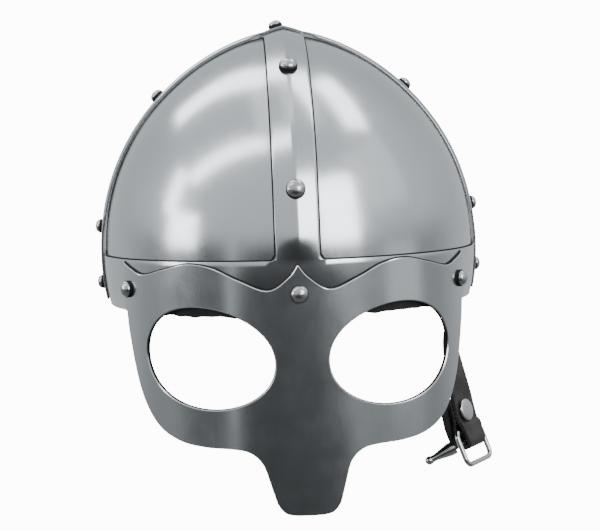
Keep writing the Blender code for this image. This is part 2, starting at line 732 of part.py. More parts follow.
def mesh_from_curve(name, points, radius, closed, resolution, guides):
    """A round wire through points, as a closed mesh."""
    curve = bpy.data.curves.new(name, "CURVE")
    curve.dimensions = "3D"
    curve.bevel_depth = radius
    curve.bevel_resolution = resolution
    curve.use_fill_caps = not closed
    spline = curve.splines.new("POLY")
    spline.points.add(len(points) - 1)
    for slot, point in zip(spline.points, points):
        slot.co = (*point, 1.0)
    spline.use_cyclic_u = closed
    holder = bpy.data.objects.new(name + "_curve", curve)
    guides.objects.link(holder)
    bpy.context.view_layer.update()
    ready = holder.evaluated_get(bpy.context.evaluated_depsgraph_get())
    mesh = bpy.data.meshes.new_from_object(ready)
    bpy.data.objects.remove(holder, do_unlink=True)
    tidy = bmesh.new()
    tidy.from_mesh(mesh)
    bmesh.ops.remove_doubles(tidy, verts=tidy.verts, dist=1e-6)
    bmesh.ops.recalc_face_normals(tidy, faces=tidy.faces)
    tidy.to_mesh(mesh)
    tidy.free()
    return mesh


def rounded_rectangle(wide, long, corner, steps=3):
    points = []
    for sx, sy, start in ((1, 1, 0), (-1, 1, 1), (-1, -1, 2), (1, -1, 3)):
        middle = Vector((sx * (wide / 2 - corner), sy * (long / 2 - corner)))
        for k in range(steps + 1):
            angle = math.pi / 2 * (start + k / steps)
            points.append(middle + corner * Vector((math.cos(angle), math.sin(angle))))
    return points


def make_buckle(bar_section, bright, collection, guides):
    """Rectangular wire frame with a centre bar, in the plane of the strap's end."""
    bar, across, _, along, _ = bar_section
    wire = BUCKLE_WIRE / 2
    loop = [bar + across * point.x + along * (point.y + BUCKLE_OFFSET)
            for point in rounded_rectangle(BUCKLE_WIDTH, BUCKLE_LENGTH, BUCKLE_CORNER)]
    mesh = mesh_from_curve("buckle_frame", loop, wire, True, 2, guides)
    frame = add_object("buckle_frame", mesh, bright, collection, 50)
    ends = [bar - across * BUCKLE_WIDTH / 2, bar + across * BUCKLE_WIDTH / 2]
    rod = bpy.data.objects.new("buckle_bar", mesh_from_curve("buckle_bar", ends, 0.9 * wire, False, 2, guides))
    guides.objects.link(rod)
    rod.hide_render = True
    rod.display_type = "WIRE"
    boolean_with(frame, rod, "UNION")
    bake(frame)


def make_strap_tip(start, bright, collection):
    """Tapered metal tip with a round knob, on the long strap's point."""
    knob = Vector((TIP_KNOB_OUT * HALF_WIDTH, start.y, -TIP_KNOB_DOWN * MASK_DROP))
    run = knob - start
    length = run.length
    ball = TIP_KNOB / 2
    neck = TIP_NARROW / 2
    profile = [(0.0, length + ball)]
    for k in range(1, 5):
        angle = math.pi * k / 6
        profile.append((ball * math.sin(angle), length + ball * math.cos(angle)))
    profile.append((neck, length - math.sqrt(ball * ball - neck * neck)))
    profile += [(TIP_WIDE / 2, TIP_GAP), (0.0, TIP_GAP)]
    tip = turned("strap_tip", profile, RIVET_SIDES, bright, collection)
    seat(tip, start, run.normalized(), 0.0)


def make_strap_and_buckle(materials, collection, guides):
    leather, bright = materials["leather"], materials["buckle_steel"]
    short = strap_sections(BUCKLE_STRAP)
    strap_from("strap_buckle_side", folded_strap(short), leather, collection)
    long = strap_sections(LONG_STRAP)
    strap_from("strap_long", [section[:3] for section in long], leather, collection)
    make_buckle(short[-1], bright, collection, guides)
    make_strap_tip(long[-1][0], bright, collection)

    # The flat rivet that closes the fold and holds the long strap inside it
    bar = short[-1][0]
    centre, across, _, _, inward = min(short, key=lambda rung: abs((bar - rung[0]).length - CAP_ABOVE_BAR))
    outer_face = leg_spread((bar - centre).length) + STRAP_THICK / 2
    cap = turned("strap_rivet", [(0.0, CAP_THICK), (0.42 * CAP_DIAMETER, CAP_THICK),
                                 (CAP_DIAMETER / 2, 0.45 * CAP_THICK), (CAP_DIAMETER / 2, 0.0),
                                 (0.0, 0.0)], 16, bright, collection)
    seat(cap, centre - inward * outer_face - across * CAP_FORWARD, -inward, CAP_GAP)


def build():
    clear_scene()
    collection = bpy.data.collections.new("viking_mask_helmet")
    guides = bpy.data.collections.new("cutters")
    bpy.context.scene.collection.children.link(collection)
    bpy.context.scene.collection.children.link(guides)
    materials = {name: make_material(name) for name in MATERIALS}
    steel = materials["steel"]
    make_frame(steel, collection)
    for end_name, end in (("front", -1), ("rear", 1)):
        for side_name, side in (("left", -1), ("right", 1)):
            make_panel(f"panel_{end_name}_{side_name}", side, end, steel, collection)
    make_ear_band(steel, collection)
    make_mask(steel, collection, guides)
    make_rivets(materials["rivet_steel"], collection)
    make_strap_and_buckle(materials, collection, guides)


build()
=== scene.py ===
"""Looks of the viking mask helmet: smooth sheet metal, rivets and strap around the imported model."""
import math
from bisect import bisect_right

import bmesh
import bpy
from mathutils import Matrix, Quaternion, Vector, noise


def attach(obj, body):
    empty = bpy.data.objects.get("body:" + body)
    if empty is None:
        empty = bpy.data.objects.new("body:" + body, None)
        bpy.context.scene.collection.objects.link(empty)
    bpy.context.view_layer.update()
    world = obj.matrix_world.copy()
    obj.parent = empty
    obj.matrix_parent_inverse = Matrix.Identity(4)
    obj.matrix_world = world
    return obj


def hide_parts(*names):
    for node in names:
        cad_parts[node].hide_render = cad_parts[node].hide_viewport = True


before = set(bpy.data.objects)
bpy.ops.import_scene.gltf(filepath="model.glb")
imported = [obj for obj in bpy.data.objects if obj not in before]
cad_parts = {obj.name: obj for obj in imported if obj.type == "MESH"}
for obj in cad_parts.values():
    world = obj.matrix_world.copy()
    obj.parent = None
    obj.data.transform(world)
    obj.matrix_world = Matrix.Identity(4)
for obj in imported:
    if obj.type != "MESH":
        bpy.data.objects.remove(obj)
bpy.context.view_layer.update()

# Driving sizes of the helmet, in metres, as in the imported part
HALF_WIDTH = 0.1008
HALF_LENGTH = 0.117
BROW_HEIGHT = 0.027
DOME_RISE = 0.118
DOME_POINT = 1.65
DOME_SHOULDER = 2.10
BROW_TUCK = 0.003
BROW_TUCK_POWER = 2.2
SHEET = 0.0012
SEAT_GAP = 0.0003
PANEL_LAP = 0.008
PANEL_LAP_CENTRE = 0.006
PANEL_SPLIT = 0.0004
BAND_WIDTH = 0.0215
RIDGE_RISE = 0.0021
RIDGE_FADE = 0.009
WINDOW_FILLET = 0.002
EAR_BAND_WIDTH = 0.026
EAR_BAND_DRESS = 0.003
EAR_BAND_SINK = 0.0011
EAR_BAND_SINK_SHARE = 0.03
EAR_BAND_FOOT = 0.0025
MASK_HALF_LENGTH = 0.1085
MASK_DROP = 0.0972
MASK_LEAN = math.radians(1.2)
MASK_PIVOT = 0.45
EYE_OUT = 0.0506
EYE_DOWN = 0.0205
EYE_HALF_WIDTH = 0.0377
EYE_HALF_HEIGHT = 0.0250
EYE_TILT = math.radians(5.6)
EYE_SQUARENESS = 2.05
STRAP_WIDTH = 0.020
STRAP_THICK = 0.0024
TURN_BACK = 0.026
BUCKLE_WIDTH = 0.0285
BUCKLE_LENGTH = 0.019
BUCKLE_OFFSET = 0.003
BUCKLE_WIRE = 0.0029
BUCKLE_CORNER = 0.004
CAP_ABOVE_BAR = 0.0168
CAP_FORWARD = 0.0022
CAP_DIAMETER = 0.0123
CAP_THICK = 0.0012
CAP_GAP = 0.0012
TIP_WIDE = 0.0076
TIP_NARROW = 0.0040
TIP_KNOB = 0.0050
TIP_GRIP = 0.0010          # how far the tip closes over the strap's end
TIP_KNOB_OUT = 0.749
TIP_KNOB_DOWN = 0.981
RIVET_HEAD = 0.0090
SMALL_RIVET_HEAD = 0.0073
MASK_RIVET_HEAD = 0.0082
RIVET_RISE_SHARE = 0.38
RIVET_GAP = 0.0005
COLLAR_REACH = 1.06        # radius of the black collar, painted shade under a head, over the head's radius
COLLAR_RISE = 0.17         # how far it covers the head, as a share of the head's rise
HEAD_LIFT = 0.0006         # how far the collar holds the head off the sheet
FRAME_LAYER = SEAT_GAP + SHEET
EAR_BAND_LAYER = FRAME_LAYER + SEAT_GAP + SHEET
MASK_LAYER = EAR_BAND_LAYER

# Directions along y and x
ENDS = (("front", -1), ("rear", 1))
SIDES = (("left", -1), ("right", 1))

# Finish and fineness of the sheets
EDGE_ROUND = 0.00028
RIM_ANGLE = math.radians(55)
STRAP_ROUND = 0.0006       # skived edge of the leather
MASK_CHAMFER = 0.00045     # filed bright edge of the mask
UNDULATION = 0.00016       # hand-worked waviness of the sheets
WAVE_LENGTH = 0.045        # of the broad waves, and of the fine ones between them
FINE_WAVE_LENGTH = 0.021
MERGE = 2e-5               # points closer than this are one point of a sheet
SEAM_MERGE = 3e-5          # the same where the frame's two bands are welded
COLUMN = 0.0026            # widths of the mask's cells, which let it bend
CELL_HEIGHT = 0.004
CELL_SHIFT = 0.0013        # keeps the cuts off the outline's own points
JOINT_WIDTH = 0.0009
JOINT_OUT = 0.0002         # the line's middle from the edge of the sheet above it
JOINT_LAYER = 0.0002
JOINT_SINK = 0.00035       # how much deeper the line lies along the transverse band
BROW_STRIP_TURN = math.radians(54)
BROW_STRIP_LOW = -0.0004       # uneven lower edge of the strip, from the dome's lower edge
BROW_STRIP_HIGH = 0.0075
BROW_STRIP_UNEVEN = 0.0011
BROW_STRIP_OUT = 0.00012

STEELS = (
    # name, light and dark colour of the patches, roughness, brushing, pits
    ("satin_steel", (0.655, 0.692, 0.718, 1.0), (0.49, 0.519, 0.539, 1.0), 0.20, 2600.0, 0.25),
    ("rivet_steel_satin", (0.56, 0.57, 0.58, 1.0), (0.40, 0.41, 0.42, 1.0), 0.24, 1400.0, 0.0),
    ("buckle_nickel", (0.70, 0.71, 0.72, 1.0), (0.55, 0.56, 0.57, 1.0), 0.18, 1200.0, 0.0),
    # near-black finish of the sheets' inner sides and of the mask's cut walls
    ("near_black_inside", (0.030, 0.030, 0.031, 1.0), (0.015, 0.015, 0.015, 1.0), 0.45, 900.0, 0.0),
)
PIT_COLOUR = (0.10, 0.09, 0.085, 1.0)
# near-black of the joint lines and rivet collars: painted shade in the gaps and under the heads, with old
# oil in the joints
OIL_AND_SHADE_BLACK = (0.010, 0.010, 0.011, 1.0)
LEATHER_DARK = (0.011, 0.0105, 0.0105, 1.0)
LEATHER_WORN = (0.035, 0.033, 0.032, 1.0)
PAPER_COLOUR = (0.93, 0.93, 0.93, 1.0)

# Camera, found from the photograph: 600 by 530 pixels
CAMERA_TARGET = Vector((0.0060, 0.0, 0.017))
CAMERA_DISTANCE = 0.85
CAMERA_YAW = math.radians(2.5)
CAMERA_PITCH = math.radians(3.8)
CAMERA_ROLL = math.radians(-1.73)
CAMERA_LENS = 91.2

# Pale backdrop: a floor that bends up into a wall all round
FLOOR_LEVEL = -1.40
FLOOR_GLOW = 12.0
FLOOR_FLAT = 0.4           # radius of the middle disc
FLOOR_REACH = 3.2
FLOOR_BEND = 0.8
WALL_TOP = 4.0
FLOOR_SIDES = 96

# Studio round the helmet. Each soft box stands at a heading from the front, towards +X,
# and at a height angle, both in degrees, LIGHT_DISTANCE from the helmet.
LIGHT_DISTANCE = 1.6
LIGHTS = (
    # name, heading, rise, width, height, roll, brightness
    ("right_front_box", 31, 22, 0.78, 1.00, 0, 5.6),
    ("right_fill_box", 70, 34, 0.90, 0.90, 0, 0.36),
    ("left_low_box", -76, 10, 0.58, 0.42, 0, 5.6),
    ("left_mid_strip", -88, 25, 0.24, 0.50, 0, 5.2),
    ("left_high_strip", -61, 50, 0.23, 1.36, -45, 5.0),
    ("left_rear_strip", -138, 56, 0.36, 1.08, 21, 4.8),
    ("right_rear_strip", 106, 64, 0.34, 0.81, -62, 4.8),
    ("right_low_box", 72, -3, 0.70, 0.35, 0, 0.45),
    ("left_low_stripe", -40, -3, 0.16, 0.50, 0, 0.40),
    ("top_box", 0, 88, 0.90, 0.90, 0, 0.65),
)
# Brightness of the room by the height of the direction looked in, from -1 to 1
ROOM_BELOW = 0.20
ROOM_LEVEL = 0.40
ROOM_ABOVE = 0.86
ROOM_BEHIND = 0.70         # behind the helmet, at every height
ROOM_TINT = (0.975, 1.0, 1.02)
SHADE_TALL = 1.8           # how much faster the dark patches end upwards than sideways
SHADES = (
    # centre of a dark patch of the room, as a direction, its full and its last reach, depth
    ((-0.08, -1.0, -0.30), 0.58, 0.78, 0.78),
    ((-0.88, -0.45, -0.08), 0.20, 0.40, 0.64),
)

# Right half of the flat mask. across is a share of MASK_HALF_LENGTH, and height one of
# BROW_HEIGHT above the dome's lower edge and of MASK_DROP below it.
MASK_OUTLINE = (
    # name, across, height
    ("centre peak", 0.000, 0.935),
    ("peak flank", 0.045, 0.700),
    ("inner dip", 0.140, 0.475),
    ("inner rise", 0.270, 0.660),
    ("side shoulder", 0.400, 0.890),
    ("side peak", 0.530, 0.960),
    ("outer flank", 0.680, 0.850),
    ("outer dip", 0.830, 0.740),
    ("arm rise", 0.930, 0.840),
    ("arm top", 1.000, 0.950),
    ("arm end", 1.000, 0.200),
    ("arm corner", 0.985, 0.040),
    ("cheek high", 0.970, -0.090),
    ("cheek", 0.930, -0.257),
    ("cheek low", 0.880, -0.400),
    ("jaw high", 0.811, -0.514),
    ("jaw", 0.728, -0.592),
    ("jaw low", 0.608, -0.643),
    ("ring foot", 0.479, -0.662),
    ("ring end", 0.350, -0.665),
    ("nose fillet high", 0.276, -0.675),
    ("nose fillet", 0.230, -0.702),
    ("nose fillet low", 0.198, -0.746),
    ("nose side", 0.178, -0.813),
    ("nose side low", 0.159, -0.885),
    ("nose corner high", 0.140, -0.947),
    ("nose corner", 0.106, -0.988),
    ("nose tip", 0.055, -1.000),
)
MASK_CORNERS = ("centre peak", "arm top")

# place is a share of the way out along what carries the rivet.
RIVETS = (
    # node, carrier, place, height share of the brow
    ("rivet_crown", "ear band", -0.033, None),
    ("rivet_front_upper", "long band", 0.565, None),
    ("rivet_front_lower", "long band", 0.957, None),
    ("rivet_rear_upper", "long band", -0.565, None),
    ("rivet_rear_lower", "long band", -0.957, None),
    ("rivet_band_left_upper", "ear band", -0.670, None),
    ("rivet_band_left_lower", "ear band", -0.992, None),
    ("rivet_band_right_upper", "ear band", 0.640, None),
    ("rivet_band_right_lower", "ear band", 0.983, None),
    ("rivet_brow_left", "brow", -1.0, 0.43),
    ("rivet_brow_right", "brow", 1.0, 0.555),
    ("rivet_mask_middle", "mask", 0.0, 0.405),
    ("rivet_mask_left", "mask", -0.957, 0.45),
    ("rivet_mask_right", "mask", 0.957, 0.45),
)

# Routes of the straps. out is a share of HALF_WIDTH, forward and wide are shares of
# STRAP_WIDTH and down one of MASK_DROP. turn is how far the strap faces forward, in degrees.
BUCKLE_STRAP = (
    # name, out, forward, down, turn, wide
    ("rivet end", 0.9750, 0.00, -0.165, 0, 1.0),
    ("below rivet", 0.9660, 0.00, -0.080, 0, 1.0),
    ("at the edge", 0.9430, 0.00, 0.010, 3, 1.0),
    ("under the edge", 0.9050, 0.00, 0.100, 10, 1.0),
    ("behind the cheek", 0.8790, 0.00, 0.260, 20, 1.0),
    ("behind the jaw", 0.8980, 0.00, 0.420, 30, 1.0),
    ("flare", 0.9170, 0.03, 0.560, 37, 1.0),
    ("cap", 0.9420, 0.09, 0.690, 38, 1.0),
    ("above the buckle", 0.9580, 0.15, 0.765, 38, 1.0),
    ("above the bar", 0.9710, 0.19, 0.815, 37, 1.0),
    ("bar", 0.9880, 0.24, 0.866, 37, 0.9),
)

LONG_STRAP = (
    # name, out, forward, down, turn, wide
    ("rivet end", -0.9750, 0.00, -0.165, 0, 1.0),
    ("below rivet", -0.9660, 0.00, -0.080, 0, 1.0),
    ("at the edge", -0.9300, 0.00, 0.000, 0, 1.0),
    ("under the edge", -0.8720, 0.00, 0.070, 0, 1.0),
    ("cheek", -0.8550, 0.00, 0.260, 0, 1.0),
    ("jaw", -0.8050, 0.00, 0.460, 0, 1.0),
    ("chin side", -0.6900, 0.00, 0.625, 0, 1.0),
    ("chin", -0.4700, 0.00, 0.695, 0, 1.0),
    ("chin middle", -0.2000, 0.00, 0.715, 0, 1.0),
    ("far chin middle", 0.1200, 0.00, 0.715, 0, 1.0),
    ("far chin", 0.4000, 0.00, 0.700, 0, 1.0),
    ("far chin side", 0.6200, 0.00, 0.670, 4, 1.0),
    ("far jaw", 0.7500, 0.00, 0.655, 16, 1.0),
    ("far turn", 0.8260, 0.03, 0.660, 30, 1.0),
    ("beside the cap", 0.8820, 0.09, 0.715, 38, 1.0),
    ("below the cap", 0.8960, 0.14, 0.790, 38, 0.95),
    ("taper", 0.9000, 0.19, 0.850, 37, 0.75),
    ("point", 0.8950, 0.22, 0.892, 37, 0.45),
    ("end", 0.8830, 0.23, 0.912, 37, 0.32),
)


# Node helpers
MIX_FACTOR, MIX_FIRST, MIX_SECOND, MIX_RESULT = 0, 6, 7, 2     # sockets of a colour mix


def fill(node, values):
    """Set the constants of a node's inputs."""
    for socket, value in values.items():
        node.inputs[socket].default_value = value
    return node


class Nodes:
    """The node tree of a material or a world, with short calls to add and join nodes."""

    def __init__(self, owner):
        owner.use_nodes = True
        self.owner = owner
        self.tree = owner.node_tree

    def shader(self, values):
        """A material's shader, with its constants."""
        return fill(self.tree.nodes["Principled BSDF"], values)

    def add(self, kind, **values):
        node = self.tree.nodes.new(kind)
        for key, value in values.items():
            setattr(node, key, value)
        return node

    def join(self, source, output, target, socket):
        self.tree.links.new(source.outputs[output], target.inputs[socket])

    def places(self, output, scale=(1.0, 1.0, 1.0)):
        """Texture coordinates, scaled per axis: UV runs along the sheet, Object is space."""
        mapping = fill(self.add("ShaderNodeMapping"), {"Scale": scale})
        self.join(self.add("ShaderNodeTexCoord"), output, mapping, "Vector")
        return mapping

    def noise(self, mapping, scale, detail, roughness=0.6, distortion=0.0):
        texture = fill(self.add("ShaderNodeTexNoise"), {
            "Scale": scale, "Detail": detail, "Roughness": roughness, "Distortion": distortion})
        self.join(mapping, "Vector", texture, "Vector")
        return texture

    def span(self, source, output, low, high, start=0.0, end=1.0, **values):
        """Map a value's range to another."""
        node = fill(self.add("ShaderNodeMapRange", **values), {
            "From Min": start, "From Max": end, "To Min": low, "To Max": high})
        self.join(source, output, node, "Value")
        return node

    def maths(self, operation, first, first_out, second, second_out):
        node = self.add("ShaderNodeMath", operation=operation)
        self.join(first, first_out, node, 0)
        self.join(second, second_out, node, 1)
        return node

    def blend(self, factor, output, first, second):
        """Mix of two colours. A colour given as None is joined later."""
        node = self.add("ShaderNodeMix", data_type="RGBA")
        self.join(factor, output, node, MIX_FACTOR)
        for socket, colour in ((MIX_FIRST, first), (MIX_SECOND, second)):
            if colour:
                node.inputs[socket].default_value = colour
        return node

    def bump(self, source, output, strength, distance, under=None, sunk=False):
        """Relief from a value, on top of another relief."""
        node = fill(self.add("ShaderNodeBump", invert=sunk), {"Strength": strength, "Distance": distance})
        self.join(source, output, node, "Height")
        if under:
            self.join(under, "Normal", node, "Normal")
        return node


def steel_material(name, light, dark, roughness, brush, pits):
    """Satin steel: brushing along the sheet, soft patches, fine scratches and a few pits."""
    nodes = Nodes(bpy.data.materials.new(name))
    shader = nodes.shader({"Metallic": 1.0})
    space = nodes.places("Object")
    brushing = nodes.noise(nodes.places("UV", (brush, 45.0, 1.0)), 1.0, 4.0)
    patches = nodes.noise(space, 26.0, 3.0, 0.5, 0.4)
    cloud = nodes.noise(space, 90.0, 5.0)
    scratches = nodes.noise(nodes.places("UV", (420.0, 38.0, 1.0)), 3.0, 2.0, 0.5, 1.2)

    tone = fill(nodes.add("ShaderNodeMath", operation="MULTIPLY_ADD"), {1: 0.5})
    nodes.join(patches, "Fac", tone, 0)
    nodes.join(nodes.span(brushing, "Fac", -0.12, 0.42), "Result", tone, 2)
    colour = nodes.blend(tone, "Value", dark, light)
    if pits:
        spot = nodes.span(nodes.noise(space, 420.0, 2.0, 0.5), "Fac", 0.0, 1.0, 0.70, 0.76)
        area = nodes.span(nodes.noise(space, 34.0, 1.0, 0.5), "Fac", 0.0, pits, 0.54, 0.66)
        amount = nodes.maths("MULTIPLY", spot, "Result", area, "Result")
        pitted = nodes.blend(amount, "Value", None, PIT_COLOUR)
        nodes.join(colour, MIX_RESULT, pitted, MIX_FIRST)
        colour = pitted
    nodes.join(colour, MIX_RESULT, shader, "Base Color")

    rough = nodes.span(cloud, "Fac", roughness - 0.02, roughness + 0.025, 0.3, 0.7)
    brushed = nodes.span(brushing, "Fac", -0.010, 0.014, 0.3, 0.7)
    total = nodes.maths("ADD", rough, "Result", brushed, "Result")
    nodes.join(total, "Value", shader, "Roughness")

    scratch = nodes.span(scratches, "Fac", 0.0, 1.0, 0.70, 0.80)
    relief = nodes.bump(brushing, "Fac", 0.25, 0.00003)
    relief = nodes.bump(scratch, "Result", 0.08, 0.00004, relief, sunk=True)
    nodes.join(relief, "Normal", shader, "Normal")
    return nodes.owner


def leather_material(name):
    """Black strap leather: pebbled grain, creases and a slight worn shine."""
    nodes = Nodes(bpy.data.materials.new(name))
    shader = nodes.shader({})
    space = nodes.places("Object")
    grain = fill(nodes.add("ShaderNodeTexVoronoi"), {"Scale": 1400.0})
    nodes.join(space, "Vector", grain, "Vector")
    creases = nodes.noise(space, 260.0, 4.0, 0.6, 0.6)
    wear = nodes.noise(space, 70.0, 4.0)
    worn = nodes.span(wear, "Fac", 0.0, 1.0, 0.45, 0.75)
    colour = nodes.blend(worn, "Result", LEATHER_DARK, LEATHER_WORN)
    nodes.join(colour, MIX_RESULT, shader, "Base Color")
    rough = nodes.span(wear, "Fac", 0.62, 0.42, 0.3, 0.7)
    nodes.join(rough, "Result", shader, "Roughness")
    relief = nodes.bump(grain, "Distance", 0.35, 0.00012)
    relief = nodes.bump(creases, "Fac", 0.5, 0.00025, relief)
    nodes.join(relief, "Normal", shader, "Normal")
    return nodes.owner


def plain_material(name, colour, roughness, gloss=0.5, glow=0.0):
    nodes = Nodes(bpy.data.materials.new(name))
    nodes.shader({"Base Color": colour, "Roughness": roughness, "Specular IOR Level": gloss})
    if glow:
        nodes.shader({"Emission Color": (1.0, 1.0, 1.0, 1.0), "Emission Strength": glow})
    return nodes.owner


def limited(share):
    return min(1.0, max(0.0, share))


# Surfaces of the dome. A layer is the distance outside the dome sheets' outer face.
def brow_tuck(height):
    share = max(0.0, (BROW_HEIGHT - height) / BROW_HEIGHT)
    return BROW_TUCK * share ** BROW_TUCK_POWER


def brow_point(turn, height, layer):
    out = layer - brow_tuck(height)
    return Vector(((HALF_WIDTH + out) * math.sin(turn), -(HALF_LENGTH + out) * math.cos(turn), height))


def dome_level(reach, layer):
    level = max(0.0, 1.0 - min(reach, 1.0) ** DOME_POINT)
    return BROW_HEIGHT + (DOME_RISE + layer) * level ** (1.0 / DOME_SHOULDER)


def dome_point(turn, reach, layer):
    x = (HALF_WIDTH + layer) * reach * math.sin(turn)
    y = -(HALF_LENGTH + layer) * reach * math.cos(turn)
    return Vector((x, y, dome_level(reach, layer)))


def long_band_point(x, along, layer):
    span = math.sqrt(1.0 - (x / (HALF_WIDTH + layer)) ** 2)
    reach = math.hypot(x / (HALF_WIDTH + layer), along * span)
    return Vector((x, -(HALF_LENGTH + layer) * along * span, dome_level(reach, layer)))


def ear_band_point(along, y, layer):
    span = math.sqrt(1.0 - (y / (HALF_LENGTH + layer)) ** 2)
    reach = math.hypot(along * span, y / (HALF_LENGTH + layer))
    return Vector(((HALF_WIDTH + layer) * along * span, y, dome_level(reach, layer)))


def ridge(x, height=BROW_HEIGHT + DOME_RISE):
    """Height of the front-to-back band's ridge, which runs out just above the brow."""
    across = max(0.0, 1.0 - abs(x) / (BAND_WIDTH / 2))
    return RIDGE_RISE * across * limited((height - BROW_HEIGHT) / RIDGE_FADE)


def wave(point, size, seed):
    """Smooth unevenness of a hand-worked sheet, in metres."""
    place = point / WAVE_LENGTH + Vector((seed, seed * 1.7, 0.0))
    fine = point / FINE_WAVE_LENGTH + Vector((0.0, seed, seed * 2.3))
    return size * (noise.noise(place) + 0.45 * noise.noise(fine))


def waver(sheet, size, seed):
    """Shift a sheet's points along their normals by its unevenness."""
    shift = [vert.normal * wave(vert.co, size, seed) for vert in sheet.verts]
    for vert, move in zip(sheet.verts, shift):
        vert.co += move


# Mesh helpers
def add_object(name, data):
    thing = bpy.data.objects.new(name, data)
    bpy.context.scene.collection.objects.link(thing)
    return thing


def smooth(mesh, angle):
    mesh.shade_smooth()
    mesh.set_sharp_from_angle(angle=math.radians(angle))


def add_piece(name, mesh, material, smooth_angle=35):
    mesh.materials.clear()
    mesh.materials.append(material)
    smooth(mesh, smooth_angle)
    return add_object(name, mesh)


def bake(thing, smooth_angle=35):
    """Turn an object's evaluated shape into its own mesh."""
    bpy.context.view_layer.update()
    ready = thing.evaluated_get(bpy.context.evaluated_depsgraph_get())
    mesh = bpy.data.meshes.new_from_object(ready)
    thing.modifiers.clear()
    old = thing.data
    thing.data = mesh
    bpy.data.meshes.remove(old)
    smooth(mesh, smooth_angle)
    return mesh


def thicken(thing, thickness, offset=-1.0, edge=EDGE_ROUND, inside=None, filed=False):
    """Give an open sheet its thickness, a rounded or a filed rim, and its inner side a finish."""
    solid = thing.modifiers.new("Sheet", "SOLIDIFY")
    solid.thickness = thickness
    solid.offset = offset
    solid.use_even_offset = True
    if inside:
        thing.data.materials.append(inside)
        solid.material_offset = 1
        solid.material_offset_rim = 1 if filed else 0
    rim = thing.modifiers.new("Rim", "BEVEL")
    rim.width = edge
    rim.segments = 1 if filed else 2
    rim.limit_method = "ANGLE"
    rim.angle_limit = RIM_ANGLE
    rim.use_clamp_overlap = not filed
    rim.material = 0 if filed else -1


def face_normals(piece):
    """Let the large faces set the shading, so that a rim doesn't smear into its sheet."""
    smooth(piece.data, 30)
    weigh = piece.modifiers.new("Normals", "WEIGHTED_NORMAL")
    weigh.mode = "FACE_AREA"
    weigh.weight = 80
    weigh.keep_sharp = True


def grid_sheet(rows, wave_size=0.0, seed=0.0):
    """An open bmesh sheet through rows of points, with sheet lengths as its UV map."""
    sheet = bmesh.new()
    uv = sheet.loops.layers.uv.new("UVMap")
    verts, places = [], []
    lengths = [0.0]
    middle = len(rows[0]) // 2
    for before, after in zip(rows, rows[1:]):
        lengths.append(lengths[-1] + (after[middle] - before[middle]).length)
    for row, length in zip(rows, lengths):
        across, total = [0.0], 0.0
        for before, after in zip(row, row[1:]):
            total += (after - before).length
            across.append(total)
        places.append([(share - total / 2, length) for share in across])
        verts.append([sheet.verts.new(point) for point in row])
    for r in range(len(rows) - 1):
        for k in range(len(rows[0]) - 1):
            corners = ((r, k), (r, k + 1), (r + 1, k + 1), (r + 1, k))
            face = sheet.faces.new([verts[i][j] for i, j in corners])
            for loop, (i, j) in zip(face.loops, corners):
                loop[uv].uv = places[i][j]
    bmesh.ops.remove_doubles(sheet, verts=sheet.verts, dist=MERGE)
    face_outwards(sheet)
    if wave_size:
        waver(sheet, wave_size, seed)
    return sheet


def face_outwards(sheet):
    bmesh.ops.recalc_face_normals(sheet, faces=sheet.faces)
    sheet.normal_update()
    votes = sum(face.calc_center_median().dot(face.normal) for face in sheet.faces)
    if votes < 0:
        bmesh.ops.reverse_faces(sheet, faces=sheet.faces)
        sheet.normal_update()


def to_mesh(name, sheet):
    mesh = bpy.data.meshes.new(name)
    sheet.to_mesh(mesh)
    sheet.free()
    return mesh


def gather(meshes):
    """One bmesh of several meshes, which are used up."""
    whole = bmesh.new()
    for mesh in meshes:
        whole.from_mesh(mesh)
        bpy.data.meshes.remove(mesh)
    return whole


def cut_sheet(sheet, point, direction, clear=False):
    """Cut a sheet along a plane, and clear what lies behind it where told."""
    parts = list(sheet.verts) + list(sheet.edges) + list(sheet.faces)
    bmesh.ops.bisect_plane(sheet, geom=parts, dist=1e-6, plane_co=point,
                           plane_no=direction, clear_inner=clear)


def add_spline(curve, points, closed):
    spline = curve.splines.new("POLY")
    spline.points.add(len(points) - 1)
    for slot, point in zip(spline.points, points):
        slot.co = (*point.to_3d(), 1.0)
    spline.use_cyclic_u = closed


def curve_mesh(curve):
    """The mesh of a curve, without an object that stays."""
    holder = add_object(curve.name, curve)
    bpy.context.view_layer.update()
    mesh = bpy.data.meshes.new_from_object(holder.evaluated_get(bpy.context.evaluated_depsgraph_get()))
    bpy.data.objects.remove(holder, do_unlink=True)
    return mesh


def wire_mesh(name, points, radius, closed):
    """A round wire along points."""
    curve = bpy.data.curves.new(name, "CURVE")
    curve.dimensions = "3D"
    curve.bevel_depth = radius
    curve.bevel_resolution = 6
    curve.use_fill_caps = not closed
    add_spline(curve, points, closed)
    return curve_mesh(curve)


def skin_rings(sheet, first, loops, last):
    """Close a turned form from its first point through its rings to its last point."""
    sides = len(loops[0])
    for j in range(sides):
        after = (j + 1) % sides
        sheet.faces.new((first, loops[0][j], loops[0][after]))
        sheet.faces.new((last, loops[-1][after], loops[-1][j]))
        for low, high in zip(loops, loops[1:]):
            sheet.faces.new((low[j], high[j], high[after], low[after]))
    bmesh.ops.recalc_face_normals(sheet, faces=sheet.faces)


def dress(piece, node):
    """Let a finished piece stand for its node: hang it on the root and hide the node."""
    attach(piece, "root")
    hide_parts(node)


def spread(start, end, steps):
    return [start + (end - start) * k / steps for k in range(steps + 1)]


# Frame
def band_half(height):
    rise = limited((height - BROW_HEIGHT) / WINDOW_FILLET)
    return BAND_WIDTH / 2 + WINDOW_FILLET * (1.0 - math.sqrt(1.0 - (1.0 - rise) ** 2))


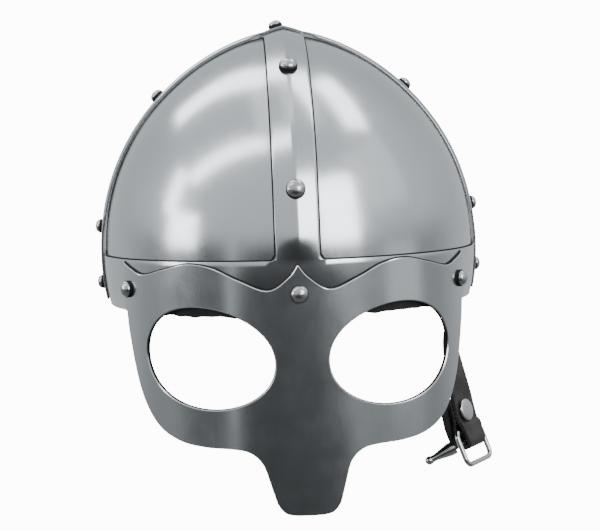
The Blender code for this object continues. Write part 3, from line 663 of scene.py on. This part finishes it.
def make_frame(material, inside):
    """Brow band and front-to-back band as one sheet with a window on each side."""
    shares = spread(-1.0, 1.0, 16)
    foot_half = BAND_WIDTH / 2 + WINDOW_FILLET
    foot = [math.asin(share * foot_half / (HALF_WIDTH + FRAME_LAYER)) for share in shares]
    gap = spread(foot[-1], math.pi + foot[0], 96)[1:-1]
    turns = foot + gap + [turn + math.pi for turn in foot + gap]
    turns.append(turns[0] + 2 * math.pi)
    heights = spread(0.0, BROW_HEIGHT, 10)
    ring = grid_sheet([[brow_point(turn, height, FRAME_LAYER) for turn in turns] for height in heights])

    # The band's rows lie closer together near its feet, where the windows' corners are
    angles = [0.0, 0.004, 0.008, 0.013, 0.02, 0.028, 0.037] + spread(0.05, math.pi / 2, 62)
    angles = [math.pi / 2 - angle for angle in angles]
    angles += [-angle for angle in reversed(angles[:-1])]
    rows = []
    for angle in angles:
        along = math.sin(angle)
        height = long_band_point(0.0, along, FRAME_LAYER).z
        half = band_half(height)
        rows.append([long_band_point(share * half, along, FRAME_LAYER + ridge(share * half, height))
                     for share in shares])
    sheet = gather((to_mesh("frame_ring", ring), to_mesh("frame_band", grid_sheet(rows))))
    bmesh.ops.remove_doubles(sheet, verts=sheet.verts, dist=SEAM_MERGE)
    face_outwards(sheet)
    waver(sheet, 0.5 * UNDULATION, 3.0)
    piece = add_piece("frame_sheet", to_mesh("frame_sheet", sheet), material)
    thicken(piece, SHEET, inside=inside)
    bake(piece, 30)
    dress(piece, "frame")


def make_panel(side_name, side, end_name, end, material, inside):
    """One dished dome sheet, slightly wavy from the hammer and planishing."""
    middle = 0.0 if end < 0 else math.pi
    spare = 0.03     # cut away below
    turns = [middle - side * end * turn for turn in spread(-spare, math.pi / 2 + spare, 60)]
    reaches = [math.sin(angle) for angle in spread(0.05, math.pi / 2, 54)]
    laps = spread(BROW_HEIGHT, BROW_HEIGHT - PANEL_LAP, 4)[1:]
    rows = [[dome_point(turn, reach, 0.0) for turn in turns] for reach in reaches]
    rows += [[brow_point(turn, height, 0.0) for turn in turns] for height in laps]
    seed = 11.0 + 5.0 * side + 2.0 * end
    sheet = grid_sheet(rows, UNDULATION, seed)
    inner = BAND_WIDTH / 2 - PANEL_LAP_CENTRE
    cut_sheet(sheet, (side * inner, 0, 0), (side, 0, 0), clear=True)
    cut_sheet(sheet, (0, end * PANEL_SPLIT / 2, 0), (0, end, 0), clear=True)
    name = f"panel_{end_name}_{side_name}"
    piece = add_piece(name + "_sheet", to_mesh(name, sheet), material)
    thicken(piece, SHEET, inside=inside)
    bake(piece)
    dress(piece, name)


def edge_sink(x, y):
    """How far the transverse band's edges are hammered down, clear of what it laps."""
    edge = (abs(y) - EAR_BAND_WIDTH / 2) / EAR_BAND_DRESS + 1.0
    inside = (abs(x) - BAND_WIDTH / 2 - EAR_BAND_DRESS) / (2 * EAR_BAND_DRESS)
    foot = (1.0 - abs(x) / (HALF_WIDTH + EAR_BAND_LAYER)) / EAR_BAND_SINK_SHARE
    return EAR_BAND_SINK * limited(edge) * limited(inside) * limited(foot)


def make_ear_band(material):
    """Transverse band over the crown, bent over the ridge that it crosses."""
    columns = spread(-EAR_BAND_WIDTH / 2, EAR_BAND_WIDTH / 2, 12)
    half = BAND_WIDTH / 2
    crown = spread(-half, half, 24)
    rest = [math.sin(angle) for angle in spread(math.asin((half + 0.001) / HALF_WIDTH), math.pi / 2, 60)]
    outer = [share * (HALF_WIDTH + EAR_BAND_LAYER) for share in rest]
    xs = [-x for x in reversed(outer)] + crown + outer
    laps = spread(EAR_BAND_FOOT, BROW_HEIGHT, 9)[:-1]

    def lap_row(sign, height):
        return [brow_point(sign * math.acos(-y / (HALF_LENGTH + EAR_BAND_LAYER)), height, EAR_BAND_LAYER)
                for y in columns]

    rows = [lap_row(-1, height) for height in laps]
    for x in xs:
        layers = [EAR_BAND_LAYER + ridge(x) - edge_sink(x, y) for y in columns]
        rows.append([ear_band_point(x / (HALF_WIDTH + layer), y, layer)
                     for y, layer in zip(columns, layers)])
    rows += [lap_row(1, height) for height in reversed(laps)]
    sheet = grid_sheet(rows, 0.5 * UNDULATION, 21.0)
    piece = add_piece("transverse_band_sheet", to_mesh("transverse_band", sheet), material)
    thicken(piece, SHEET)
    bake(piece, 30)
    dress(piece, "transverse_band")


# Mask: cut flat, then bent round the brow, as the real plate is
def smooth_run(points, samples):
    """A smooth curve through points, with samples steps between each two."""
    run = [points[0]] + list(points) + [points[-1]]
    out = []
    for k in range(len(points) - 1):
        before, start, end, after = run[k:k + 4]
        for step in range(samples):
            t = step / samples
            out.append(0.5 * ((2 * start) + (end - before) * t
                              + (2 * before - 5 * start + 4 * end - after) * t * t
                              + (3 * start - before - 3 * end + after) * t ** 3))
    return out + [points[-1]]


def mask_outline():
    """Outline of the flat mask, from its centre peak round and back."""
    points = [Vector((across * MASK_HALF_LENGTH, height * (BROW_HEIGHT if height > 0 else MASK_DROP)))
              for _, across, height in MASK_OUTLINE]
    stops = [k for k, row in enumerate(MASK_OUTLINE) if row[0] in MASK_CORNERS] + [len(points) - 1]
    half = []
    for start, end in zip(stops, stops[1:]):
        half += smooth_run(points[start:end + 1], 7)[:-1]
    half.append(points[-1])
    return half + [Vector((-point.x, point.y)) for point in reversed(half) if point.x > 1e-6]


def squared(share):
    """A circle's coordinate, moved out towards a square's."""
    return math.copysign(abs(share) ** (2 / EYE_SQUARENESS), share)


def eye_outline(side):
    """Outline of an eye hole in the flat mask, a tilted superellipse."""
    points = []
    for angle in spread(0.0, 2 * math.pi, 120)[:-1]:
        x = EYE_HALF_WIDTH * squared(math.cos(angle))
        y = EYE_HALF_HEIGHT * squared(math.sin(angle))
        across = EYE_OUT + x * math.cos(EYE_TILT) - y * math.sin(EYE_TILT)
        height = -EYE_DOWN + x * math.sin(EYE_TILT) + y * math.cos(EYE_TILT)
        points.append(Vector((side * across, height)))
    return points


def bend_table():
    """Angles round the brow to just past its side, and the mask's length up to each."""
    a = HALF_WIDTH + MASK_LAYER - SHEET / 2
    b = HALF_LENGTH + MASK_LAYER - SHEET / 2
    angles = spread(0.0, 1.7, 1200)
    lengths = [0.0]
    for before, after in zip(angles, angles[1:]):
        lengths.append(lengths[-1] + math.hypot(a * (math.sin(after) - math.sin(before)),
                                                b * (math.cos(after) - math.cos(before))))
    return angles, lengths


def bend_turn(length, angles, lengths):
    """The angle at which a length along the mask ends."""
    target = abs(length)
    low = min(bisect_right(lengths, target), len(lengths) - 1) - 1
    part = (target - lengths[low]) / (lengths[low + 1] - lengths[low])
    return math.copysign(angles[low] + (angles[low + 1] - angles[low]) * part, length)


BEND = bend_table()


def bent(across, height, layer):
    """A point of the mask from its place in the flat plate."""
    pivot = MASK_PIVOT * BROW_HEIGHT
    turn = bend_turn(across - math.tan(MASK_LEAN) * (height - pivot), *BEND)
    return Vector(((HALF_WIDTH + layer) * math.sin(turn), -(HALF_LENGTH + layer) * math.cos(turn), height))


def make_mask(material, inside):
    curve = bpy.data.curves.new("mask_plate", "CURVE")
    curve.dimensions = "2D"
    curve.fill_mode = "BOTH"
    for outline in (mask_outline(), eye_outline(-1), eye_outline(1)):
        add_spline(curve, outline, True)
    sheet = gather((curve_mesh(curve),))
    bmesh.ops.remove_doubles(sheet, verts=sheet.verts, dist=1e-6)
    bmesh.ops.dissolve_limit(sheet, angle_limit=0.01, verts=sheet.verts, edges=sheet.edges)
    bmesh.ops.recalc_face_normals(sheet, faces=sheet.faces)
    sheet.normal_update()
    if sum(face.normal.z for face in sheet.faces) < 0:
        bmesh.ops.reverse_faces(sheet, faces=sheet.faces)
    piece = add_piece("mask_sheet", to_mesh("mask_sheet", sheet), material)
    thicken(piece, SHEET, 0.0, MASK_CHAMFER, inside=inside, filed=True)
    mesh = bake(piece)
    plate = bmesh.new()
    plate.from_mesh(mesh)
    columns = int(MASK_HALF_LENGTH / COLUMN) + 1
    for k in range(-columns, columns + 1):
        cut_sheet(plate, (k * COLUMN, 0, 0), (1, 0, 0))
    for k in range(int(-MASK_DROP / CELL_HEIGHT) - 1, int(BROW_HEIGHT / CELL_HEIGHT) + 2):
        cut_sheet(plate, (0, k * CELL_HEIGHT + CELL_SHIFT, 0), (0, 1, 0))
    uv = plate.loops.layers.uv.verify()
    for face in plate.faces:
        for loop in face.loops:
            loop[uv].uv = (loop.vert.co.x, loop.vert.co.y)
    plate.to_mesh(mesh)
    plate.free()
    for vert in mesh.vertices:
        layer = MASK_LAYER - SHEET / 2 + vert.co.z
        place = bent(vert.co.x, vert.co.y, layer)
        out = Vector((place.x, place.y, 0.0)).normalized()
        vert.co = place + out * wave(place, 0.7 * UNDULATION, 31.0)
    mesh.update()
    face_normals(piece)
    dress(piece, "mask")


# Rivets
def ear_band_top(along):
    """A point on the middle line of the transverse band, over the ridge that it crosses."""
    lift = ridge(along * (HALF_WIDTH + EAR_BAND_LAYER))
    return ear_band_point(along, 0.0, EAR_BAND_LAYER + lift)


def rivet_seat(carrier, place, height):
    """Head diameter, seat and outward direction of a rivet."""
    if carrier == "ear band":
        run = ear_band_top(place + 0.005) - ear_band_top(place - 0.005)
        return SMALL_RIVET_HEAD, ear_band_top(place), Vector((-run.z, 0.0, run.x)).normalized()
    if carrier == "long band":
        layer = FRAME_LAYER + ridge(0.0, long_band_point(0.0, place, FRAME_LAYER).z)
        return seat_on(RIVET_HEAD, lambda out: long_band_point(0.0, place, out), layer)
    level = height * BROW_HEIGHT
    if carrier == "brow":
        turn = place * math.pi / 2
        return seat_on(SMALL_RIVET_HEAD, lambda out: brow_point(turn, level, out), EAR_BAND_LAYER)
    across = place * MASK_HALF_LENGTH
    return seat_on(MASK_RIVET_HEAD, lambda out: bent(across, level, out), MASK_LAYER)


def seat_on(diameter, surface, layer):
    """A seat whose outward direction runs from one layer of a surface to the next."""
    return diameter, surface(layer), (surface(layer + 0.001) - surface(layer)).normalized()


def make_rivets(material, black):
    """A hammered head at each place, held off its sheet by a black collar that paints the shade under the
    head.
    """
    for name, carrier, place, height in RIVETS:
        diameter, point, axis = rivet_seat(carrier, place, height)
        foot = RIVET_GAP + HEAD_LIFT
        hammered_head(name, point + axis * foot, axis, diameter, material)
        # near-black collar: painted contact shade at the head's foot
        reach = COLLAR_REACH * diameter / 2
        rise = foot + COLLAR_RISE * RIVET_RISE_SHARE * diameter
        ring = [(0.0, rise), (0.94 * reach, rise), (reach, 0.8 * rise),
                (reach, -2 * RIVET_GAP), (0.0, -2 * RIVET_GAP)]
        turned(name + "_collar", ring, 40, point, axis, black, name)


def hammered_head(name, base, axis, diameter, material):
    """A domed head, slightly uneven from the hammer, on a thin closed foot."""
    radius, rise = diameter / 2, diameter * RIVET_RISE_SHARE
    seed = sum(ord(letter) for letter in name) * 0.37
    sides = 44
    profile = [(radius * math.sin(angle), rise * (0.12 + 0.88 * math.cos(angle)))
               for angle in spread(0.0, math.pi / 2, 12)[1:]]
    profile += [(radius, 0.04 * rise), (0.96 * radius, 0.0)]
    side = axis.orthogonal().normalized()
    other = axis.cross(side)
    head = bmesh.new()
    loops = []
    for reach, height in profile:
        loop = []
        for j in range(sides):
            angle = 2 * math.pi * j / sides
            way = side * math.cos(angle) + other * math.sin(angle)
            uneven = 1.0 + 0.03 * noise.noise(way * 1.4 + Vector((seed, 0.0, 0.0)))
            spot = base + way * reach * uneven + axis * height
            dent = 0.05 * height * noise.noise(spot / 0.0019 + Vector((seed, 0.0, 0.0)))
            loop.append(head.verts.new(spot - axis * abs(dent)))
        loops.append(loop)
    skin_rings(head, head.verts.new(base + axis * rise), loops, head.verts.new(base))
    uv = head.loops.layers.uv.new("UVMap")
    for face in head.faces:
        for loop in face.loops:
            out = loop.vert.co - base
            loop[uv].uv = (out.dot(side), out.dot(other))
    piece = add_piece(name + "_head", to_mesh(name, head), material, 50)
    dress(piece, name)


# Dark joint lines: painted shade in the gaps between sheets, with old oil in them
def joint_line(name, node, points, material, closed=False):
    """A thin dark line along the joint of two sheets: painted shade of the gap, with old oil in it."""
    piece = add_piece(name, wire_mesh(name, points, JOINT_WIDTH / 2, closed), material, 60)
    dress(piece, node)


def window_line(side, end):
    """The edge of one window of the frame, on the dome sheet behind it."""
    half, depth = BAND_WIDTH / 2 + JOINT_OUT, EAR_BAND_WIDTH / 2 + JOINT_OUT
    foot = BROW_HEIGHT + JOINT_OUT
    corner = math.acos(depth / HALF_LENGTH)

    def above_fillet(places):
        return [place for place in places if place.z > foot + WINDOW_FILLET]

    places = above_fillet([long_band_point(half, math.cos(angle), JOINT_LAYER)
                           for angle in spread(corner, 0.0, 60)])
    places += [brow_point(turn, foot, JOINT_LAYER)
               for turn in spread(math.asin((half + WINDOW_FILLET) / HALF_WIDTH), corner, 70)]
    places += above_fillet([ear_band_point(math.cos(angle), -depth, JOINT_LAYER - JOINT_SINK)
                            for angle in spread(0.0, math.acos(half / HALF_WIDTH), 70)])
    return [Vector((side * place.x, end * -place.y, place.z)) for place in places]


def make_joint_lines(material):
    for end_name, end in ENDS:
        for side_name, side in SIDES:
            node = f"panel_{end_name}_{side_name}"
            # dark lines round the windows: painted shade of the laps, with old oil
            joint_line(f"joint_{end_name}_{side_name}", node, window_line(side, end), material, True)
    # painted shadow of the mask's top edge, on the brow just above it
    top = [point for point in mask_outline() if point.y > 0.1 * BROW_HEIGHT]
    top.sort(key=lambda point: point.x)
    line = [bent(point.x, point.y + JOINT_OUT, FRAME_LAYER + 0.3 * JOINT_WIDTH) for point in top]
    joint_line("mask_edge_painted_shadow", "mask", line, material)
    for side_name, side in SIDES:
        # painted shade along the eye holes' edges, just behind the mask
        lip = [bent(point.x, point.y, MASK_LAYER - SHEET - JOINT_OUT) for point in eye_outline(side)]
        joint_line(f"eye_edge_painted_shade_{side_name}", "mask", lip, material, True)


def make_dark_brow_strip(material):
    """Uneven black strip low on the brow's outer face behind the mask, seen through the tops of the eye
    holes.
    """
    rows = []
    turns = spread(-BROW_STRIP_TURN, BROW_STRIP_TURN, 160)
    for share in spread(0.0, 1.0, 4):
        row = []
        for turn in turns:
            low = BROW_STRIP_LOW + BROW_STRIP_UNEVEN * noise.noise(Vector((turn * 14.0, 3.1, 0.0)))
            row.append(brow_point(turn, low + (BROW_STRIP_HIGH - low) * share, FRAME_LAYER + BROW_STRIP_OUT))
        rows.append(row)
    piece = add_piece("dark_brow_strip", to_mesh("dark_brow_strip", grid_sheet(rows)), material, 60)
    dress(piece, "frame")


# Chin strap and buckle
def strap_sections(table, samples=12):
    """Centre, width direction, half width, run and inward face at each section of a strap."""
    centres = [Vector((out * HALF_WIDTH, -forward * STRAP_WIDTH, -down * MASK_DROP))
               for _, out, forward, down, _, _ in table]
    extras = [Vector((turn, wide)) for _, _, _, _, turn, wide in table]
    centres = smooth_run(centres, samples)
    extras = smooth_run(extras, samples)
    sections = []
    for k, (centre, extra) in enumerate(zip(centres, extras)):
        before = centres[max(k - 1, 0)]
        after = centres[min(k + 1, len(centres) - 1)]
        along = (after - before).normalized()
        turn = math.radians(extra.x)
        across = Vector((math.sin(turn), math.cos(turn), 0.0))
        across = (across - along * across.dot(along)).normalized()
        sections.append((centre, across, STRAP_WIDTH / 2 * extra.y, along, across.cross(along)))
    return sections


def leg_spread(distance):
    """How far each leg of the fold lies from its middle, at a distance from the bar."""
    apart = BUCKLE_WIRE / 2 + SEAT_GAP + STRAP_THICK / 2
    shut = (STRAP_THICK + SEAT_GAP) / 2
    level = BUCKLE_LENGTH / 2 - BUCKLE_OFFSET + 0.7 * BUCKLE_WIRE
    share = limited((distance - level) / (0.35 * level))
    return apart + (shut - apart) * share * share * (3.0 - 2.0 * share)


def folded_strap(sections):
    """The buckle's strap: down to the bar, round it and a short way back up inside."""
    bar, across, half, along, face = sections[-1]
    outer, inner = [], []
    for centre, width_way, half_width, _, inward in sections[:-1]:
        distance = (bar - centre).length
        if distance < BUCKLE_WIRE:
            continue
        gap = leg_spread(distance)
        hang = limited(2.0 - distance / TURN_BACK)
        outer.append((centre - inward * gap * hang, width_way, half_width))
        if distance < TURN_BACK:
            inner.append((centre + inward * gap, width_way, half_width))
    radius = leg_spread(0.0)
    bend = [(bar + radius * (along * math.sin(angle) - face * math.cos(angle)), across, half)
            for angle in spread(0.0, math.pi, 18)]
    return outer + bend + inner[::-1]


def strap_piece(name, node, rungs, material):
    """A strap with skived, slightly rounded edges."""
    shares = spread(-1.0, 1.0, 10)
    rows = [[centre + across * half * share for share in shares] for centre, across, half in rungs]
    piece = add_piece(name, to_mesh(name, grid_sheet(rows)), material, 50)
    thicken(piece, STRAP_THICK, 0.0, STRAP_ROUND)
    bake(piece, 60)
    dress(piece, node)


def rounded_rectangle(wide, long, corner, steps=10):
    points = []
    for sx, sy, start in ((1, 1, 0), (-1, 1, 1), (-1, -1, 2), (1, -1, 3)):
        middle = Vector((sx * (wide / 2 - corner), sy * (long / 2 - corner)))
        for k in range(steps + 1):
            angle = math.pi / 2 * (start + k / steps)
            points.append(middle + corner * Vector((math.cos(angle), math.sin(angle))))
    return points


def make_buckle(section, material):
    bar, across, _, along, _ = section
    wire = BUCKLE_WIRE / 2
    loop = [bar + across * point.x + along * (point.y + BUCKLE_OFFSET)
            for point in rounded_rectangle(BUCKLE_WIDTH, BUCKLE_LENGTH, BUCKLE_CORNER)]
    ends = [bar - across * BUCKLE_WIDTH / 2, bar + across * BUCKLE_WIDTH / 2]
    both = gather((wire_mesh("ring", loop, wire, True), wire_mesh("bar", ends, 0.9 * wire, False)))
    bmesh.ops.remove_doubles(both, verts=both.verts, dist=1e-6)
    bmesh.ops.recalc_face_normals(both, faces=both.faces)
    piece = add_piece("buckle_wire", to_mesh("buckle_wire", both), material, 50)
    dress(piece, "buckle_frame")


def turned(name, profile, sides, base, axis, material, node):
    """A profile of radius and height turned about an axis."""
    side = axis.orthogonal().normalized()
    other = axis.cross(side)
    body = bmesh.new()
    loops = []
    for reach, height in profile[1:-1]:
        loops.append([body.verts.new(base + axis * height + reach * (
            side * math.cos(2 * math.pi * j / sides) + other * math.sin(2 * math.pi * j / sides)))
            for j in range(sides)])
    first = body.verts.new(base + axis * profile[0][1])
    last = body.verts.new(base + axis * profile[-1][1])
    skin_rings(body, first, loops, last)
    piece = add_piece(name, to_mesh(name, body), material, 40)
    dress(piece, node)


def make_straps(leather, bright):
    short = strap_sections(BUCKLE_STRAP)
    strap_piece("buckle_strap_leather", "strap_buckle_side", folded_strap(short), leather)
    long = strap_sections(LONG_STRAP)
    strap_piece("long_strap_leather", "strap_long", [rung[:3] for rung in long], leather)
    make_buckle(short[-1], bright)
    make_strap_rivet(short, bright)
    make_strap_tip(long[-1][0], bright)


def make_strap_rivet(sections, material):
    """The flat rivet that closes the fold and holds the long strap inside it."""
    bar = sections[-1][0]
    centre, across, _, _, inward = min(
        sections, key=lambda rung: abs((bar - rung[0]).length - CAP_ABOVE_BAR))
    outer = leg_spread((bar - centre).length) + STRAP_THICK / 2 + CAP_GAP
    half, thick = CAP_DIAMETER / 2, CAP_THICK
    cap = [(0.0, thick), (0.30 * half, thick), (0.74 * half, 0.97 * thick), (0.90 * half, 0.86 * thick),
           (0.97 * half, 0.68 * thick), (half, 0.42 * thick), (half, 0.0), (0.0, 0.0)]
    seat = centre - inward * outer - across * CAP_FORWARD
    turned("strap_rivet_cap", cap, 48, seat, -inward, material, "strap_rivet")


def make_strap_tip(start, material):
    """Tapered metal tip with a round knob, on the long strap's point."""
    knob = Vector((TIP_KNOB_OUT * HALF_WIDTH, start.y, -TIP_KNOB_DOWN * MASK_DROP))
    run = knob - start
    length, ball, neck, wide = run.length, TIP_KNOB / 2, TIP_NARROW / 2, TIP_WIDE / 2
    profile = [(ball * math.sin(angle), length + ball * math.cos(angle))
               for angle in spread(0.0, 0.75 * math.pi, 12)]
    profile += [(neck, length - math.sqrt(ball * ball - neck * neck)), (neck * 1.02, 0.72 * length),
                (0.98 * wide, 0.18 * length), (wide, 0.12 * length), (wide, -TIP_GRIP), (0.0, -TIP_GRIP)]
    turned("strap_tip_metal", profile, 32, start, run.normalized(), material, "strap_tip")


# Studio
def make_camera():
    """The photograph's camera, turned a little about its line of sight."""
    forward = Vector((math.sin(CAMERA_YAW) * math.cos(CAMERA_PITCH),
                      math.cos(CAMERA_YAW) * math.cos(CAMERA_PITCH), -math.sin(CAMERA_PITCH)))
    level = forward.cross(Vector((0, 0, 1))).normalized()
    upright = level.cross(forward)
    right = math.cos(CAMERA_ROLL) * level + math.sin(CAMERA_ROLL) * upright
    up = math.cos(CAMERA_ROLL) * upright - math.sin(CAMERA_ROLL) * level
    data = bpy.data.cameras.new("camera")
    data.lens = CAMERA_LENS
    data.sensor_width = 36.0
    data.sensor_fit = "HORIZONTAL"
    data.clip_start = 0.05
    data.clip_end = 30.0
    camera = add_object("camera", data)
    place = Matrix((right, up, -forward)).transposed().to_4x4()
    place.translation = CAMERA_TARGET - forward * CAMERA_DISTANCE
    camera.matrix_world = place
    bpy.context.scene.camera = camera


def make_floor():
    """Pale floor that curves up into a pale wall all round the helmet."""
    profile = [(FLOOR_FLAT, FLOOR_LEVEL), (FLOOR_REACH - FLOOR_BEND, FLOOR_LEVEL)]
    for angle in spread(0.0, math.pi / 2, 12)[1:]:
        profile.append((FLOOR_REACH - FLOOR_BEND + FLOOR_BEND * math.sin(angle),
                        FLOOR_LEVEL + FLOOR_BEND * (1 - math.cos(angle))))
    profile.append((FLOOR_REACH, WALL_TOP))
    turns = spread(0.0, 2 * math.pi, FLOOR_SIDES)[:-1]
    sheet = bmesh.new()
    rings = [[sheet.verts.new((out * math.sin(turn), out * math.cos(turn), z)) for turn in turns]
             for out, z in profile]
    sheet.faces.new(rings[0])
    for low, high in zip(rings, rings[1:]):
        for j in range(FLOOR_SIDES):
            after = (j + 1) % FLOOR_SIDES
            sheet.faces.new((low[j], low[after], high[after], high[j]))
    paper = plain_material("pale_paper", PAPER_COLOUR, 0.9, glow=FLOOR_GLOW)
    floor = add_piece("floor", to_mesh("floor", sheet), paper, 60)
    floor.visible_glossy = False
    floor.visible_diffuse = False
    floor.visible_shadow = False


def add_light(name, heading, rise, wide, high, roll, brightness):
    """A soft box that faces the helmet. Its power follows from its size and brightness."""
    data = bpy.data.lights.new(name, "AREA")
    data.shape = "RECTANGLE"
    data.size = wide
    data.size_y = high
    data.energy = brightness * math.pi * wide * high
    light = add_object(name, data)
    turn, lift = math.radians(heading), math.radians(rise)
    way = Vector((math.sin(turn) * math.cos(lift), -math.cos(turn) * math.cos(lift), math.sin(lift)))
    light.location = way * LIGHT_DISTANCE
    light.rotation_mode = "QUATERNION"
    spin = Quaternion(Vector((0, 0, 1)), math.radians(roll))
    light.rotation_quaternion = (-way).to_track_quat("-Z", "Y") @ spin


def tinted(value):
    return (*(part * value for part in ROOM_TINT), 1.0)


def make_room():
    """A soft room: bright above, dim below, with dark patches such as the camera's side."""
    world = bpy.data.worlds.new("soft_room")
    nodes = Nodes(world)
    place = nodes.add("ShaderNodeTexCoord")
    split = nodes.add("ShaderNodeSeparateXYZ")
    nodes.join(place, "Generated", split, "Vector")
    level = nodes.add("ShaderNodeValToRGB")
    ramp = level.color_ramp
    ramp.interpolation = "EASE"
    stops = ((0.30, ROOM_BELOW), (0.50, ROOM_LEVEL), (0.60, ROOM_ABOVE), (1.0, ROOM_ABOVE * 1.08))
    while len(ramp.elements) < len(stops):
        ramp.elements.new(1.0)
    for element, (where, value) in zip(ramp.elements, stops):
        element.position = where
        element.color = tinted(value)
    nodes.join(nodes.span(split, "Z", 0.0, 1.0, -1.0), "Result", level, "Fac")
    behind = nodes.span(split, "Y", 0.0, 1.0, 0.15, 0.75, interpolation_type="SMOOTHSTEP")
    room, result = nodes.blend(behind, "Result", None, tinted(ROOM_BEHIND)), MIX_RESULT
    nodes.join(level, "Color", room, MIX_FIRST)
    tall = fill(nodes.add("ShaderNodeVectorMath", operation="MULTIPLY"), {1: (1.0, 1.0, SHADE_TALL)})
    nodes.join(place, "Generated", tall, 0)
    for (x, y, z), near, far, depth in SHADES:
        aside = fill(nodes.add("ShaderNodeVectorMath", operation="DISTANCE"), {1: (x, y, z * SHADE_TALL)})
        nodes.join(tall, "Vector", aside, 0)
        shade = nodes.span(aside, "Value", 1.0 - depth, 1.0, near, far, interpolation_type="SMOOTHSTEP")
        darker = nodes.add("ShaderNodeVectorMath", operation="SCALE")
        nodes.join(room, result, darker, 0)
        nodes.join(shade, "Result", darker, "Scale")
        room, result = darker, "Vector"
    nodes.join(room, result, nodes.tree.nodes["Background"], "Color")
    bpy.context.scene.world = world


def build():
    make_camera()
    make_floor()
    make_room()
    for row in LIGHTS:
        add_light(*row)
    steel, rivet_steel, bright, dark_inside = (steel_material(*row) for row in STEELS)
    leather = leather_material("black_strap_leather")
    # painted shade for the joint lines and the rivet collars, with old oil in the joints
    black = plain_material("oil_and_shade_black", OIL_AND_SHADE_BLACK, 0.7, gloss=0.15)
    make_frame(steel, dark_inside)
    for end_name, end in ENDS:
        for side_name, side in SIDES:
            make_panel(side_name, side, end_name, end, steel, dark_inside)
    make_ear_band(steel)
    make_mask(steel, dark_inside)
    make_joint_lines(black)
    make_dark_brow_strip(leather)
    make_rivets(rivet_steel, black)
    make_straps(leather, bright)


build()
